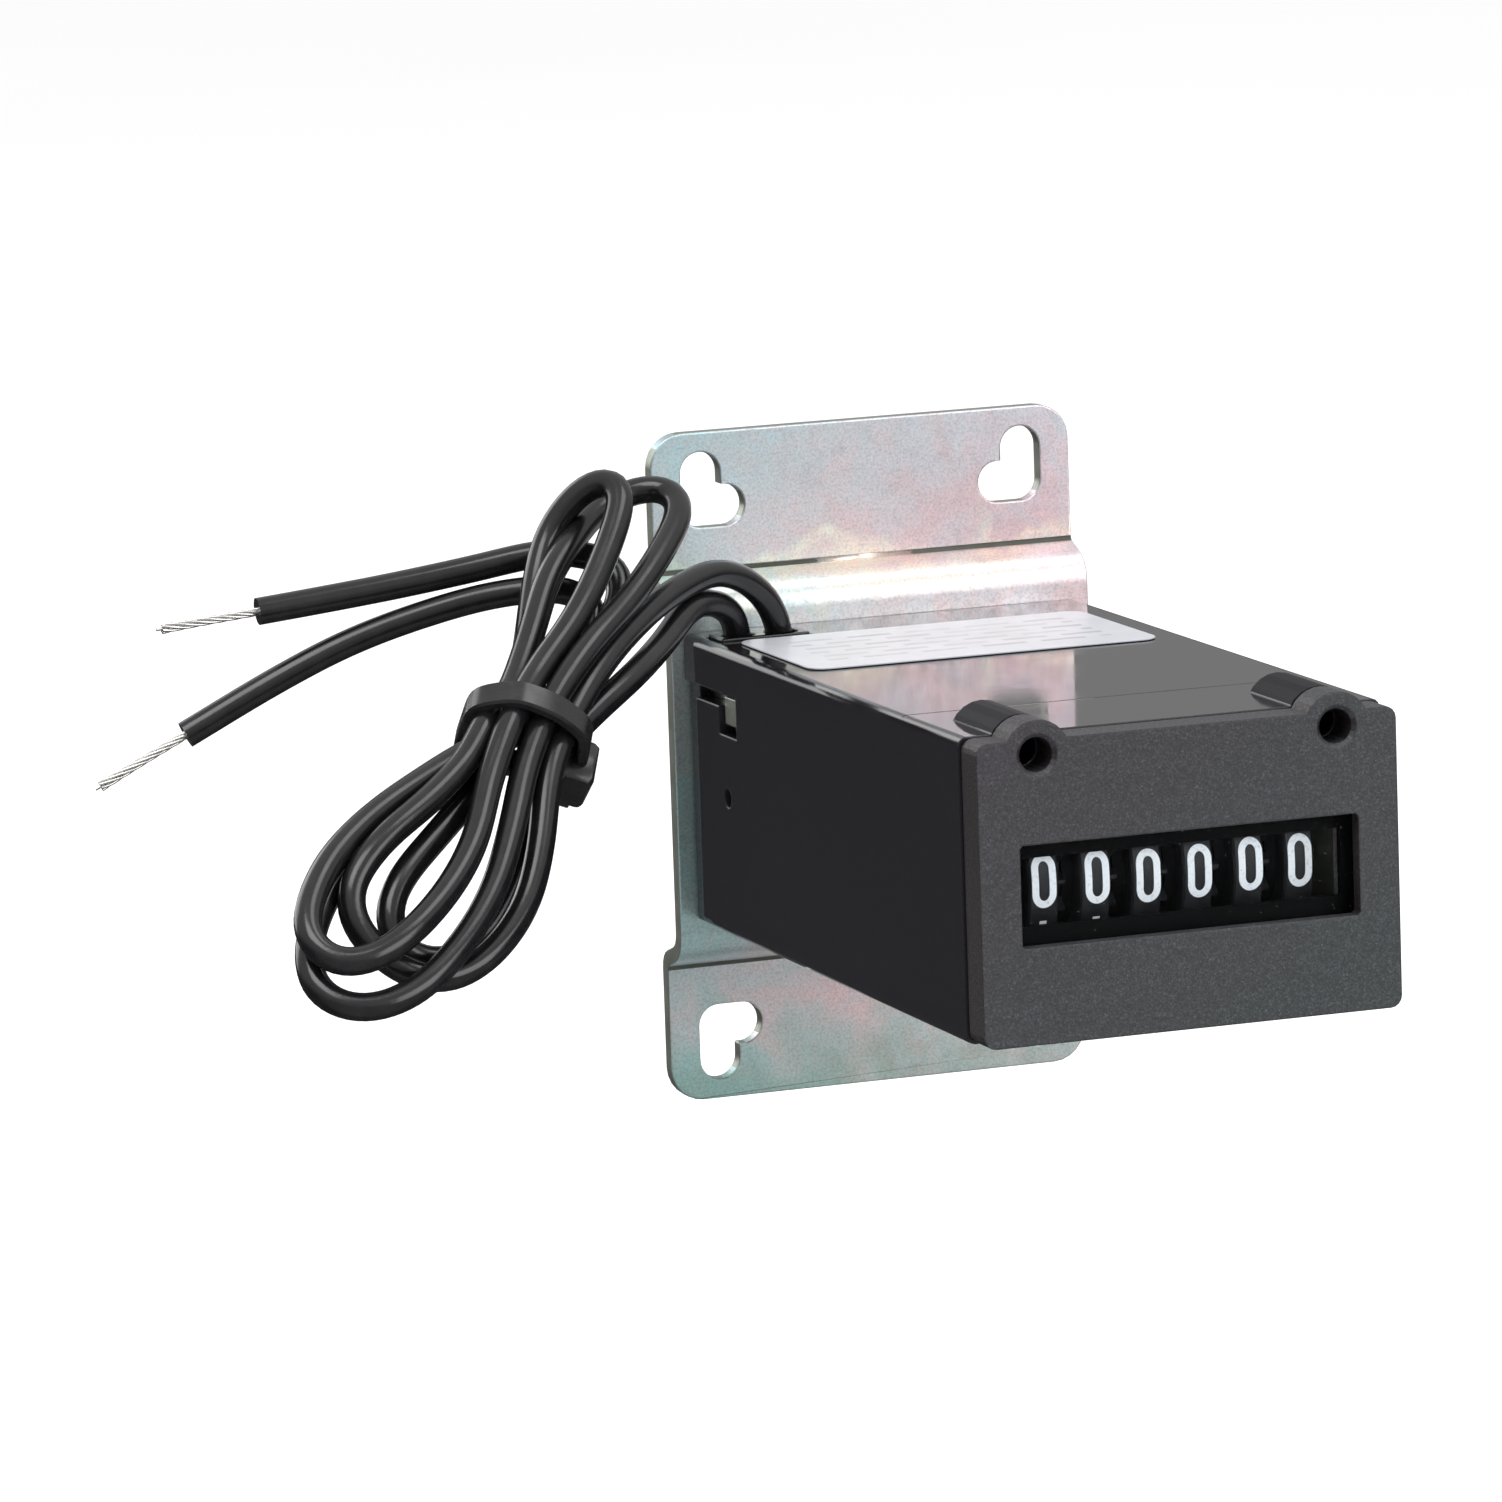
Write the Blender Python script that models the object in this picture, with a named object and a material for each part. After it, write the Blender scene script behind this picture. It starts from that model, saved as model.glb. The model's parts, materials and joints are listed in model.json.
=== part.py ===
"""Six-digit electromechanical impulse counter on a slotted wall plate.

Frame: metres, +Z up, +X to the reader's right, +Y into the wall.  The wall is the plane y = 0 and the
origin is the centre of the four slots.  The counter looks out along -Y.  Sizes below are in
millimetres and are turned into metres by MM when a mesh is made.
"""
import math

import bmesh
import bpy
from mathutils import Vector

MM = 0.001
GAP = 0.3                    # air kept between two pieces that touch or nest
OVERLAP = 0.05               # how deep two shapes of one piece run into each other
CUT_SPARE = 1.0              # how far a cutting shape runs out of what it cuts
BEND_STEPS = 4

# --- driving sizes -------------------------------------------------------------------------------
SHEET = 1.5                  # mounting plate thickness
PLATE_W = 39.6
PLATE_H = 59.6
PLATE_CORNER = 3.0
RAISE = 5.2                  # wall to the front of the plate's raised middle
BEND_Z = 16.3                # raised middle ends here, above and below the centre
BEND_RUN = 1.2               # height that each sloping step takes
FLANGE_BEND_R = 0.5          # inside radius where a flange turns forward
MIDDLE_BEND_R = 3.0          # outside radius where the step meets the raised middle
SLOT_W = 3.7
SLOT_X = (11.1, 17.0)        # inner and outer ends of a wall slot, from the middle
SLOT_Z = (21.35, 28.05)
TAB_T = 1.0                  # tongues of the plate inside the housing
TAB_FRONT_Y = -17.9
TAB_Z = (3.0, 8.4)
HOOK_BACK_Y = -14.3
HOOK_LOW_Z = 5.9

DEPTH = 74.0                 # wall to bezel front
BEZEL_W = 37.1
BEZEL_H = 25.2
BEZEL_T = 3.3
HOUSING_W = 37.4
HOUSING_H = 25.4
HOUSING_CORNER = 0.7
WALL = 1.5

WINDOW_W = 30.0
WINDOW_H = 8.5
WINDOW_Z = -0.3
EAR_X = 13.25                # screw holes of the bezel's two ears
EAR_Z = 11.3
EAR_R = 2.9
EAR_HOLE_R = 1.45
EAR_RIM = 0.35               # countersink round each ear's hole
BOSS_END_Y = -62.0
BOSS_DROP = 1.9              # how far a boss hangs below its own centre
SNAP_ARM_Y = (-15.0, -8.0)   # level arm of the L-shaped snap slot in each side
SNAP_ARM_LOW_Z = 7.5
SNAP_SLOT_Y = (-18.2, -14.0)
SNAP_SLOT_Z = (5.1, 8.7)
PEEP_R = 0.85
PEEP_YZ = (-15.5, -0.4)
SKIRT_DEPTH = 0.5            # the sides are set back this much behind SKIRT_Y
SKIRT_Y = -8.2
LEAD_OPENING_X = (-17.8, -9.0)
LEAD_OPENING_Y = (-12.3, -8.3)
ROOF_LINE_Y = (-57.6, -57.4)
ROOF_LINE_DEPTH = 0.15

LENS_SET_BACK = 1.3          # bezel front to the lens rebate
LENS_T = 0.8
LENS_W = 31.4
LENS_H = 10.0
REBATE_EXTRA = 0.6           # the rebate is this much larger than the lens, over all
MASK_T = 0.5
MASK_HALF_W = 14.4
MASK_REACH = (-2.9, 2.75)    # opening of the mask below and above the wheels' axis

LABEL_W = 32.2
LABEL_L = 18.6
LABEL_FRONT_Y = -31.5
LABEL_X = -0.4
LABEL_T = 0.15

WHEEL_R = 9.0
RIM_HALF = 1.3               # half the width of a number rim
PITCH = 4.55                 # from one number wheel to the next
DIGITS = 6
ROW_Z = -0.35
WHEEL_Y = -DEPTH + 4.0 + WHEEL_R
GEAR_TEETH = 20
PINION_TEETH = 8
MODULE = 0.72
SHAFT_R = 1.1
PINION_SHAFT_R = 0.5
LOCK_R = 6.0                 # locking disc on a wheel's left
LOCK_REACH = 0.45
GEAR_REACH = 1.2             # how far a wheel's gear stands beside its rim
PINION_W = 1.3
STAR_TEETH = 10
STAR_ROOT_R = 3.4
STAR_TIP_R = 4.8
STAR_W = 1.2
CLIP_T = 0.5
CLIP_RIM = 1.1

FRAME_X = 14.6               # inner faces of the mechanism's side plates
FRAME_T = 1.0
FRAME_Y = (-69.6, -20.0)
FRAME_Z = (-10.4, 10.4)
FRAME_STEP = (-60.8, 8.9)    # the plates are lower in front of this, to clear the bosses
FRAME_CORNER = 1.5
SPACER_R = 1.0
SPACERS = {"spacer_front_top": (-67.6, 7.4), "spacer_front_bottom": (-67.6, -8.7), "spacer_rear": (-24.0, 9.1)}
ROD_END = 0.3                # how far the spacers stand out of the side plates
SPRING_POST = (-54.6, 8.4)
SPRING_POST_R = 0.8
SPRING_X = -10.0
SPRING_R = 0.9
SPRING_WIRE_R = 0.16
SPRING_TURNS = 9

PIVOT_Y = -46.2              # armature hinge
PIVOT_Z = -8.3
PIN_R = 0.6
CORE_R = 2.6
CORE_Z = -0.5
CORE_Y = (-44.4, -13.4)
BOBBIN_Y = (-43.4, -16.2)
BOBBIN_FLANGE_R = 8.6
BOBBIN_FLANGE_T = 1.2
BOBBIN_TUBE_R = 3.7
WINDING_R = 7.9
TERMINAL_X = (-3.4, 3.4)
TERMINAL_R = 0.4
TERMINAL_TOP_Z = 10.2
YOKE_HALF_W = 8.6
YOKE_FLOOR_Z = (-10.9, -10.1)
YOKE_FRONT_Y = -48.6
YOKE_BACK_Y = (-15.7, -14.2)
YOKE_TOP_Z = 7.4
YOKE_EAR_T = 1.0
YOKE_EAR_Y = (-47.6, -44.8)
YOKE_EAR_TOP_Z = -6.7
ARMATURE_T = 1.2
ARMATURE_HALF_W = 7.0
ARMATURE_TOP = 6.2
ARM_HALF_H = 4.5             # side arm that carries the verge
SPRING_ARM_Z = (3.0, 6.0)
KNUCKLE_R = 1.5
VERGE_X = (13.0, 14.0)

LEAD_R = 1.2                 # insulated lead, 2.4 mm over the insulation
CONDUCTOR_R = 0.38
LEAD_X = (-11.4, -15.4)      # the two holes of the grommet
LEAD_Y = -10.3
GROMMET_GAP = 0.3            # between the grommet and its opening, all round
STRIPPED = 9.0               # bare conductor at each free end

# --- places that follow from them -----------------------------------------------------------------
BEZEL_BACK_Y = -DEPTH + BEZEL_T
HOUSING_FRONT_Y = BEZEL_BACK_Y + GAP
HOUSING_BACK_Y = -RAISE - GAP
INNER_X = HOUSING_W / 2 - WALL
INNER_Z = HOUSING_H / 2 - WALL
GEAR_PITCH_R = MODULE * GEAR_TEETH / 2
PINION_PITCH_R = MODULE * PINION_TEETH / 2
PINION_Y = WHEEL_Y + GEAR_PITCH_R + PINION_PITCH_R
WHEEL_X = [PITCH * ((DIGITS - 1) / 2 - k) for k in range(DIGITS)]
ROOF_Z = HOUSING_H / 2
BOSS_FLOOR_Z = EAR_Z - BOSS_DROP
STEP_SLOPE = math.atan2(BEND_RUN, RAISE - SHEET)


# --- mesh helpers ----------------------------------------------------------------------------------
def clear_scene():
    for old in list(bpy.data.objects):
        bpy.data.objects.remove(old, do_unlink=True)


def material(name, color, roughness, metallic=0.0):
    mat = bpy.data.materials.new(name)
    mat.use_nodes = True
    shader = mat.node_tree.nodes["Principled BSDF"]
    shader.inputs["Base Color"].default_value = (*color, 1.0)
    shader.inputs["Roughness"].default_value = roughness
    shader.inputs["Metallic"].default_value = metallic
    return mat


def finish(name, bm, mat, round_angle=0.0):
    """Turn a bmesh in millimetres into a named object in metres."""
    bmesh.ops.recalc_face_normals(bm, faces=bm.faces)
    bmesh.ops.scale(bm, vec=(MM, MM, MM), verts=bm.verts)
    mesh = bpy.data.meshes.new(name)
    bm.to_mesh(mesh)
    bm.free()
    if round_angle:
        mesh.shade_smooth()
        mesh.set_sharp_from_angle(angle=math.radians(round_angle))
    mesh.materials.append(mat)
    obj = bpy.data.objects.new(name, mesh)
    bpy.context.scene.collection.objects.link(obj)
    return obj


def place(axis, along, u, v):
    """A point from its distance along an axis and its two other coordinates, in X, Y, Z order."""
    if axis == "X":
        return (along, u, v)
    if axis == "Y":
        return (u, along, v)
    return (u, v, along)


def add_prism(bm, outline, axis, start, end):
    """Add an outline, in the plane across the axis, extruded from start to end."""
    low = [bm.verts.new(place(axis, start, u, v)) for u, v in outline]
    high = [bm.verts.new(place(axis, end, u, v)) for u, v in outline]
    bm.faces.new(low)
    bm.faces.new(list(reversed(high)))
    count = len(outline)
    for i in range(count):
        j = (i + 1) % count
        bm.faces.new((low[i], high[i], high[j], low[j]))


def prism(name, mat, outline, axis, start, end, round_angle=30.0):
    bm = bmesh.new()
    add_prism(bm, outline, axis, start, end)
    return finish(name, bm, mat, round_angle)


def box(name, mat, x, y, z):
    """A box from its (low, high) pairs."""
    outline = [(x[0], z[0]), (x[1], z[0]), (x[1], z[1]), (x[0], z[1])]
    return prism(name, mat, outline, "Y", y[0], y[1], 0.0)


def circle(radius, count, u=0.0, v=0.0):
    return [(u + radius * math.cos(2 * math.pi * i / count), v + radius * math.sin(2 * math.pi * i / count))
            for i in range(count)]


def arc(u, v, radius, start_deg, end_deg, steps):
    points = []
    for i in range(steps + 1):
        angle = math.radians(start_deg + (end_deg - start_deg) * i / steps)
        points.append((u + radius * math.cos(angle), v + radius * math.sin(angle)))
    return points


def rounded_rect(width, height, radius, steps=4, u=0.0, v=0.0):
    points = []
    corners = ((1, -1, -90), (1, 1, 0), (-1, 1, 90), (-1, -1, 180))
    for side_u, side_v, start in corners:
        cu = u + side_u * (width / 2 - radius)
        cv = v + side_v * (height / 2 - radius)
        points += arc(cu, cv, radius, start, start + 90, steps)
    return points


def stadium(u0, u1, v0, v1, steps=8):
    """A slot with round ends that fills the given rectangle."""
    width, height = u1 - u0, v1 - v0
    return rounded_rect(width, height, min(width, height) / 2 - 1e-4, steps, (u0 + u1) / 2, (v0 + v1) / 2)


def rod(name, mat, axis, start, end, radius, u, v, sides=16):
    return prism(name, mat, circle(radius, sides, u, v), axis, start, end)


def lathe(name, mat, profile, axis, u, v, sides=32):
    """Turn a closed profile of (along, radius) points about an axis through (u, v)."""
    bm = bmesh.new()
    rings = []
    for i in range(sides):
        angle = 2 * math.pi * i / sides
        cos, sin = math.cos(angle), math.sin(angle)
        rings.append([bm.verts.new(place(axis, a, u + r * cos, v + r * sin)) for a, r in profile])
    count = len(profile)
    for i in range(sides):
        here, there = rings[i], rings[(i + 1) % sides]
        for j in range(count):
            k = (j + 1) % count
            bm.faces.new((here[j], here[k], there[k], there[j]))
    return finish(name, bm, mat, 30.0)


def combine(target, tool, operation):
    """Join or cut the target with a tool object, which is then a hidden guide."""
    mod = target.modifiers.new(tool.name, "BOOLEAN")
    mod.object = tool
    mod.operation = operation
    mod.solver = "EXACT"
    tool.hide_render = True
    tool.display_type = "WIRE"
    tool.parent = target


def cut(target, *tools):
    for tool in tools:
        combine(target, tool, "DIFFERENCE")


def join(target, *tools):
    for tool in tools:
        combine(target, tool, "UNION")


# --- materials -------------------------------------------------------------------------------------
def make_materials():
    return {
        "zinc": material("zinc_plate", (0.62, 0.62, 0.60), 0.35, 0.9),
        "housing": material("gloss_black", (0.012, 0.012, 0.014), 0.12),
        "bezel": material("textured_charcoal", (0.055, 0.052, 0.058), 0.55),
        "lens": material("clear_lens", (0.85, 0.87, 0.88), 0.05),
        "mask": material("matte_black", (0.01, 0.01, 0.011), 0.6),
        "label": material("white_label", (0.85, 0.86, 0.88), 0.45),
        "wheel": material("wheel_grey", (0.05, 0.05, 0.055), 0.45),
        "nylon": material("natural_nylon", (0.72, 0.70, 0.62), 0.45),
        "steel": material("bright_steel", (0.55, 0.56, 0.58), 0.3, 1.0),
        "iron": material("soft_iron", (0.38, 0.38, 0.40), 0.45, 1.0),
        "copper": material("enamelled_copper", (0.60, 0.26, 0.10), 0.3, 0.9),
        "brass": material("tinned_brass", (0.75, 0.70, 0.55), 0.3, 1.0),
        "lead": material("black_pvc", (0.015, 0.015, 0.016), 0.35),
        "tie": material("black_nylon", (0.012, 0.012, 0.013), 0.3),
        "strand": material("tinned_copper", (0.80, 0.79, 0.76), 0.3, 1.0),
    }


# --- mounting plate --------------------------------------------------------------------------------
def bend(corner, radius, convex):
    """Round one corner of the sheet's side outline, between an upright face and the sloping step."""
    y, z = corner
    reach = radius * math.tan((math.pi / 2 - STEP_SLOPE) / 2)
    upright = Vector((0.0, reach))
    sloping = Vector((reach * math.cos(STEP_SLOPE), reach * math.sin(STEP_SLOPE)))
    middle = Vector((y, z))
    first, last = (middle + sloping, middle - upright) if convex else (middle + upright, middle - sloping)
    points = []
    for i in range(BEND_STEPS + 1):
        t = i / BEND_STEPS
        p = first * (1 - t) ** 2 + middle * 2 * t * (1 - t) + last * t ** 2
        points.append((p.x, p.y))
    return points


def plate_profile():
    """Side outline (y, z) of the hat-shaped sheet: two wall flanges and a raised middle."""
    top = PLATE_H / 2
    drop = SHEET * (1 - math.sin(STEP_SLOPE)) / math.cos(STEP_SLOPE)   # a corner's height over the one behind it
    front = [(-SHEET, top)]
    front += bend((-SHEET, BEND_Z + BEND_RUN), FLANGE_BEND_R, False)
    front += bend((-RAISE, BEND_Z), MIDDLE_BEND_R, True)
    back = [(0.0, top)]
    back += bend((0.0, BEND_Z + BEND_RUN - drop), FLANGE_BEND_R + SHEET, False)
    back += bend((SHEET - RAISE, BEND_Z - drop), MIDDLE_BEND_R - SHEET, True)
    front += [(y, -z) for y, z in reversed(front)]
    back += [(y, -z) for y, z in reversed(back)]
    return front + list(reversed(back))


def wall_slot(name, mat, side, up):
    """L-shaped slot: an upright leg near the plate's edge and a short leg towards the middle."""
    inner, outer = SLOT_X
    low, high = SLOT_Z
    across = sorted((side * outer, side * (outer - SLOT_W)))
    level_across = sorted((side * outer, side * inner))
    tall = sorted((up * low, up * high))
    short = sorted((up * low, up * (low + SLOT_W)))
    through = (-SHEET - CUT_SPARE, CUT_SPARE)
    upright = prism(name + "_upright", mat, stadium(*across, *tall), "Y", *through)
    level = prism(name + "_level", mat, stadium(*level_across, *short), "Y", *through)
    return upright, level


def make_plate(mats):
    zinc = mats["zinc"]
    plate = prism("mounting_plate", zinc, plate_profile(), "X", -PLATE_W / 2, PLATE_W / 2)
    corners = prism("plate_corners", zinc, rounded_rect(PLATE_W, PLATE_H, PLATE_CORNER, 6),
                    "Y", -RAISE - CUT_SPARE, CUT_SPARE)
    combine(plate, corners, "INTERSECT")
    for side in (-1, 1):
        for up in (-1, 1):
            cut(plate, *wall_slot(f"slot_{side}_{up}", zinc, side, up))
    for side in (-1, 1):
        outer = INNER_X - GAP
        tab_x = sorted((side * outer, side * (outer - TAB_T)))
        hook_x = sorted((side * (outer - TAB_T / 2), side * (HOUSING_W / 2 - 0.4)))
        tab = box(f"tab_{side}", zinc, tab_x, (TAB_FRONT_Y, -RAISE + 0.5), TAB_Z)
        hook = box(f"hook_{side}", zinc, hook_x, (TAB_FRONT_Y, HOOK_BACK_Y), (HOOK_LOW_Z, TAB_Z[1]))
        join(plate, tab, hook)
    return plate


# --- casing ----------------------------------------------------------------------------------------
def notch(outline, x):
    """Drop the roof of the hollow's outline to below one boss."""
    half = EAR_R + 0.02
    points = []
    for i, (u, v) in enumerate(outline):
        next_u, next_v = outline[(i + 1) % len(outline)]
        points.append((u, v))
        if min(v, next_v) > INNER_Z - 0.01 and next_u < x - half and x + half < u:
            points += [(x + half, v), (x + half, BOSS_FLOOR_Z), (x - half, BOSS_FLOOR_Z), (x - half, v)]
    return points


def make_housing(mats):
    black = mats["housing"]
    back, front = HOUSING_BACK_Y, HOUSING_FRONT_Y
    shell = rounded_rect(HOUSING_W, HOUSING_H, HOUSING_CORNER, 3)
    housing = prism("housing", black, shell, "Y", front, back)
    hang = math.degrees(math.asin(BOSS_DROP / EAR_R))
    for side in (-1, 1):
        outline = arc(side * EAR_X, EAR_Z, EAR_R, -hang, 180 + hang, 16)
        join(housing, prism(f"boss_{side}", black, outline, "Y", front + 0.01, BOSS_END_Y))
    hollow = rounded_rect(2 * INNER_X, 2 * INNER_Z, 0.4, 2)
    front_hollow = notch(notch(hollow, EAR_X), -EAR_X)
    cut(housing, prism("hollow_front", black, front_hollow, "Y", front - CUT_SPARE, BOSS_END_Y + 0.5))
    cut(housing, prism("hollow_back", black, hollow, "Y", BOSS_END_Y + 0.4, back + CUT_SPARE))
    for side in (-1, 1):
        cut(housing, rod(f"boss_bore_{side}", black, "Y", front - CUT_SPARE, BOSS_END_Y + CUT_SPARE,
                         EAR_HOLE_R - 0.1, side * EAR_X, EAR_Z))
        outside = sorted((side * (HOUSING_W / 2 - 2 * WALL), side * (HOUSING_W / 2 + CUT_SPARE)))
        skirt = sorted((side * (HOUSING_W / 2 - SKIRT_DEPTH), side * (HOUSING_W / 2 + CUT_SPARE)))
        cut(housing, box(f"snap_arm_{side}", black, outside, SNAP_ARM_Y, (SNAP_ARM_LOW_Z, SNAP_SLOT_Z[1])))
        cut(housing, box(f"snap_slot_{side}", black, outside, SNAP_SLOT_Y, SNAP_SLOT_Z))
        cut(housing, rod(f"peep_hole_{side}", black, "X", *outside, PEEP_R, *PEEP_YZ, 12))
        cut(housing, box(f"rear_step_{side}", black, skirt, (SKIRT_Y, back + CUT_SPARE),
                         (-HOUSING_H, SNAP_SLOT_Z[1])))
    cut(housing, box("lead_opening", black, LEAD_OPENING_X, LEAD_OPENING_Y, (9.0, ROOF_Z + CUT_SPARE)))
    cut(housing, box("roof_line", black, (-HOUSING_W, EAR_X + 1), ROOF_LINE_Y,
                     (ROOF_Z - ROOF_LINE_DEPTH, ROOF_Z + CUT_SPARE)))
    return housing


def make_bezel(mats):
    grey = mats["bezel"]
    back, front = BEZEL_BACK_Y, -DEPTH
    bezel = prism("front_bezel", grey, rounded_rect(BEZEL_W, BEZEL_H, 1.0, 4), "Y", front, back)
    for side in (-1, 1):
        outline = arc(side * EAR_X, EAR_Z, EAR_R, -20, 200, 18)
        join(bezel, prism(f"ear_{side}", grey, outline, "Y", front, back))
        rail_x = sorted((side * (INNER_X - GAP), side * (INNER_X - GAP - 1.0)))
        join(bezel, box(f"rail_{side}", grey, rail_x, (back - 0.5, back + 4.0), (-8.0, 8.0)))
    window = rounded_rect(WINDOW_W, WINDOW_H, 0.25, 1, 0.0, WINDOW_Z)
    rebate = rounded_rect(LENS_W + REBATE_EXTRA, LENS_H + REBATE_EXTRA, 0.4, 1, 0.0, WINDOW_Z)
    cut(bezel, prism("window_cut", grey, window, "Y", front - CUT_SPARE, back + CUT_SPARE))
    cut(bezel, prism("lens_rebate", grey, rebate, "Y", front + LENS_SET_BACK, back + CUT_SPARE))
    for side in (-1, 1):
        x = side * EAR_X
        cut(bezel, rod(f"ear_hole_{side}", grey, "Y", front - CUT_SPARE, back + CUT_SPARE, EAR_HOLE_R, x, EAR_Z, 20))
        spare = 0.3
        cone = [(front - spare, 0.1), (front - spare, EAR_HOLE_R + EAR_RIM + spare),
                (front + EAR_RIM + spare, EAR_HOLE_R - spare), (front + EAR_RIM + spare, 0.1)]
        cut(bezel, lathe(f"ear_rim_{side}", grey, cone, "Y", x, EAR_Z, 20))
    return bezel


def make_window(mats):
    pane = rounded_rect(LENS_W, LENS_H, 0.4, 1, 0.0, WINDOW_Z)
    lens_y = -DEPTH + LENS_SET_BACK + GAP
    prism("window_lens", mats["lens"], pane, "Y", lens_y, lens_y + LENS_T)
    mask_y = lens_y + LENS_T + GAP
    mask = prism("digit_mask", mats["mask"], pane, "Y", mask_y, mask_y + MASK_T)
    cut(mask, box("mask_cut", mats["mask"], (-MASK_HALF_W, MASK_HALF_W),
                  (mask_y - CUT_SPARE, mask_y + MASK_T + CUT_SPARE), [ROW_Z + reach for reach in MASK_REACH]))


def make_label(mats):
    outline = rounded_rect(LABEL_W, LABEL_L, 1.6, 4, LABEL_X, LABEL_FRONT_Y + LABEL_L / 2)
    prism("rating_label", mats["label"], outline, "Z", ROOF_Z + 0.05, ROOF_Z + 0.05 + LABEL_T)


# --- counting train --------------------------------------------------------------------------------
def gear_outline(teeth, root, tip, u, v, phase=0.0):
    """Straight-flanked teeth, a little thin so that the mesh runs free."""
    points = []
    step = 2 * math.pi / teeth
    foot, crest = 0.27, 0.13
    for i in range(teeth):
        middle = phase + i * step
        for offset, radius in ((-foot, root), (-crest, tip), (crest, tip), (foot, root)):
            angle = middle + offset * step
            points.append((u + radius * math.cos(angle), v + radius * math.sin(angle)))
    return points


def make_number_wheel(mats, index):
    """Number wheel: rim, locking disc on its left, and a 20-tooth gear on its right."""
    x = WHEEL_X[index]
    grey = mats["wheel"]
    name = f"number_wheel_{index + 1}"
    wheel = prism(name, grey, circle(WHEEL_R, 40, WHEEL_Y, ROW_Z), "X", x - RIM_HALF, x + RIM_HALF)
    if index + 1 < DIGITS:
        disc = circle(LOCK_R, 24, WHEEL_Y, ROW_Z)
        join(wheel, prism(name + "_lock", grey, disc, "X", x - RIM_HALF - LOCK_REACH, x))
    if index > 0:
        outline = gear_outline(GEAR_TEETH, GEAR_PITCH_R - 0.8, GEAR_PITCH_R + 0.4, WHEEL_Y, ROW_Z)
        join(wheel, prism(name + "_gear", grey, outline, "X", x, x + RIM_HALF + GEAR_REACH))
    cut(wheel, rod(name + "_bore", grey, "X", x - PITCH, x + PITCH, SHAFT_R + GAP, WHEEL_Y, ROW_Z))


def make_pinion(mats, index):
    """Transfer pinion between wheel index + 1 and the next higher wheel, in mesh with that one's gear."""
    x = WHEEL_X[index + 1] + RIM_HALF + GAP
    name = f"transfer_pinion_{index + 1}"
    half_tooth = math.pi / PINION_TEETH
    outline = gear_outline(PINION_TEETH, PINION_PITCH_R - 0.8, PINION_PITCH_R + 0.5, PINION_Y, ROW_Z, half_tooth)
    pinion = prism(name, mats["nylon"], outline, "X", x, x + PINION_W)
    cut(pinion, rod(name + "_bore", mats["nylon"], "X", x - CUT_SPARE, x + PINION_W + CUT_SPARE,
                    PINION_SHAFT_R + GAP, PINION_Y, ROW_Z, 12))


def make_star_wheel(mats):
    x = WHEEL_X[0] + RIM_HALF + GAP
    outline = gear_outline(STAR_TEETH, STAR_ROOT_R, STAR_TIP_R, WHEEL_Y, ROW_Z)
    star = prism("star_wheel", mats["nylon"], outline, "X", x, x + STAR_W)
    cut(star, rod("star_bore", mats["nylon"], "X", x - CUT_SPARE, x + STAR_W + CUT_SPARE,
                  SHAFT_R + GAP, WHEEL_Y, ROW_Z))


def make_shafts(mats):
    steel = mats["steel"]
    end = INNER_X - 0.5
    clip_start = FRAME_X + FRAME_T + GAP
    for name, radius, y in (("wheel_shaft", SHAFT_R, WHEEL_Y), ("pinion_shaft", PINION_SHAFT_R, PINION_Y)):
        rod(name, steel, "X", -end, end, radius, y, ROW_Z)
        for side, word in ((-1, "left"), (1, "right")):
            inner = radius + 0.1
            near, far = sorted((side * clip_start, side * (clip_start + CLIP_T)))
            profile = [(near, inner), (far, inner), (far, inner + CLIP_RIM), (near, inner + CLIP_RIM)]
            lathe(f"{name}_clip_{word}", steel, profile, "X", y, ROW_Z, 16)


def make_frame(mats):
    """Two side plates tied by spacer rods; they carry both shafts and the spring post."""
    front, back = FRAME_Y
    low, high = FRAME_Z
    step_y, front_high = FRAME_STEP
    chamfer = FRAME_CORNER
    outline = [(front, low + chamfer), (front + chamfer, low), (back, low), (back, high), (step_y, high),
               (step_y, front_high), (front + chamfer, front_high), (front, front_high - chamfer)]
    for side, word in ((-1, "left"), (1, "right")):
        near, far = sorted((side * FRAME_X, side * (FRAME_X + FRAME_T)))
        plate = prism(f"side_plate_{word}", mats["zinc"], outline, "X", near, far, 0.0)
        holes = [(SHAFT_R, WHEEL_Y, ROW_Z), (PINION_SHAFT_R, PINION_Y, ROW_Z)]
        holes += [(SPACER_R, y, z) for y, z in SPACERS.values()]
        if word == "left":
            holes.append((SPRING_POST_R, *SPRING_POST))
        for i, (radius, y, z) in enumerate(holes):
            cut(plate, rod(f"side_hole_{word}_{i}", mats["zinc"], "X", near - CUT_SPARE, far + CUT_SPARE,
                           radius + GAP, y, z, 12))
    rod_end = FRAME_X + FRAME_T + ROD_END
    for name, (y, z) in SPACERS.items():
        rod(name, mats["steel"], "X", -rod_end, rod_end, SPACER_R, y, z, 12)
    rod("spring_post", mats["steel"], "X", -rod_end, SPRING_X + 1.6, SPRING_POST_R, *SPRING_POST, 12)


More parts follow.
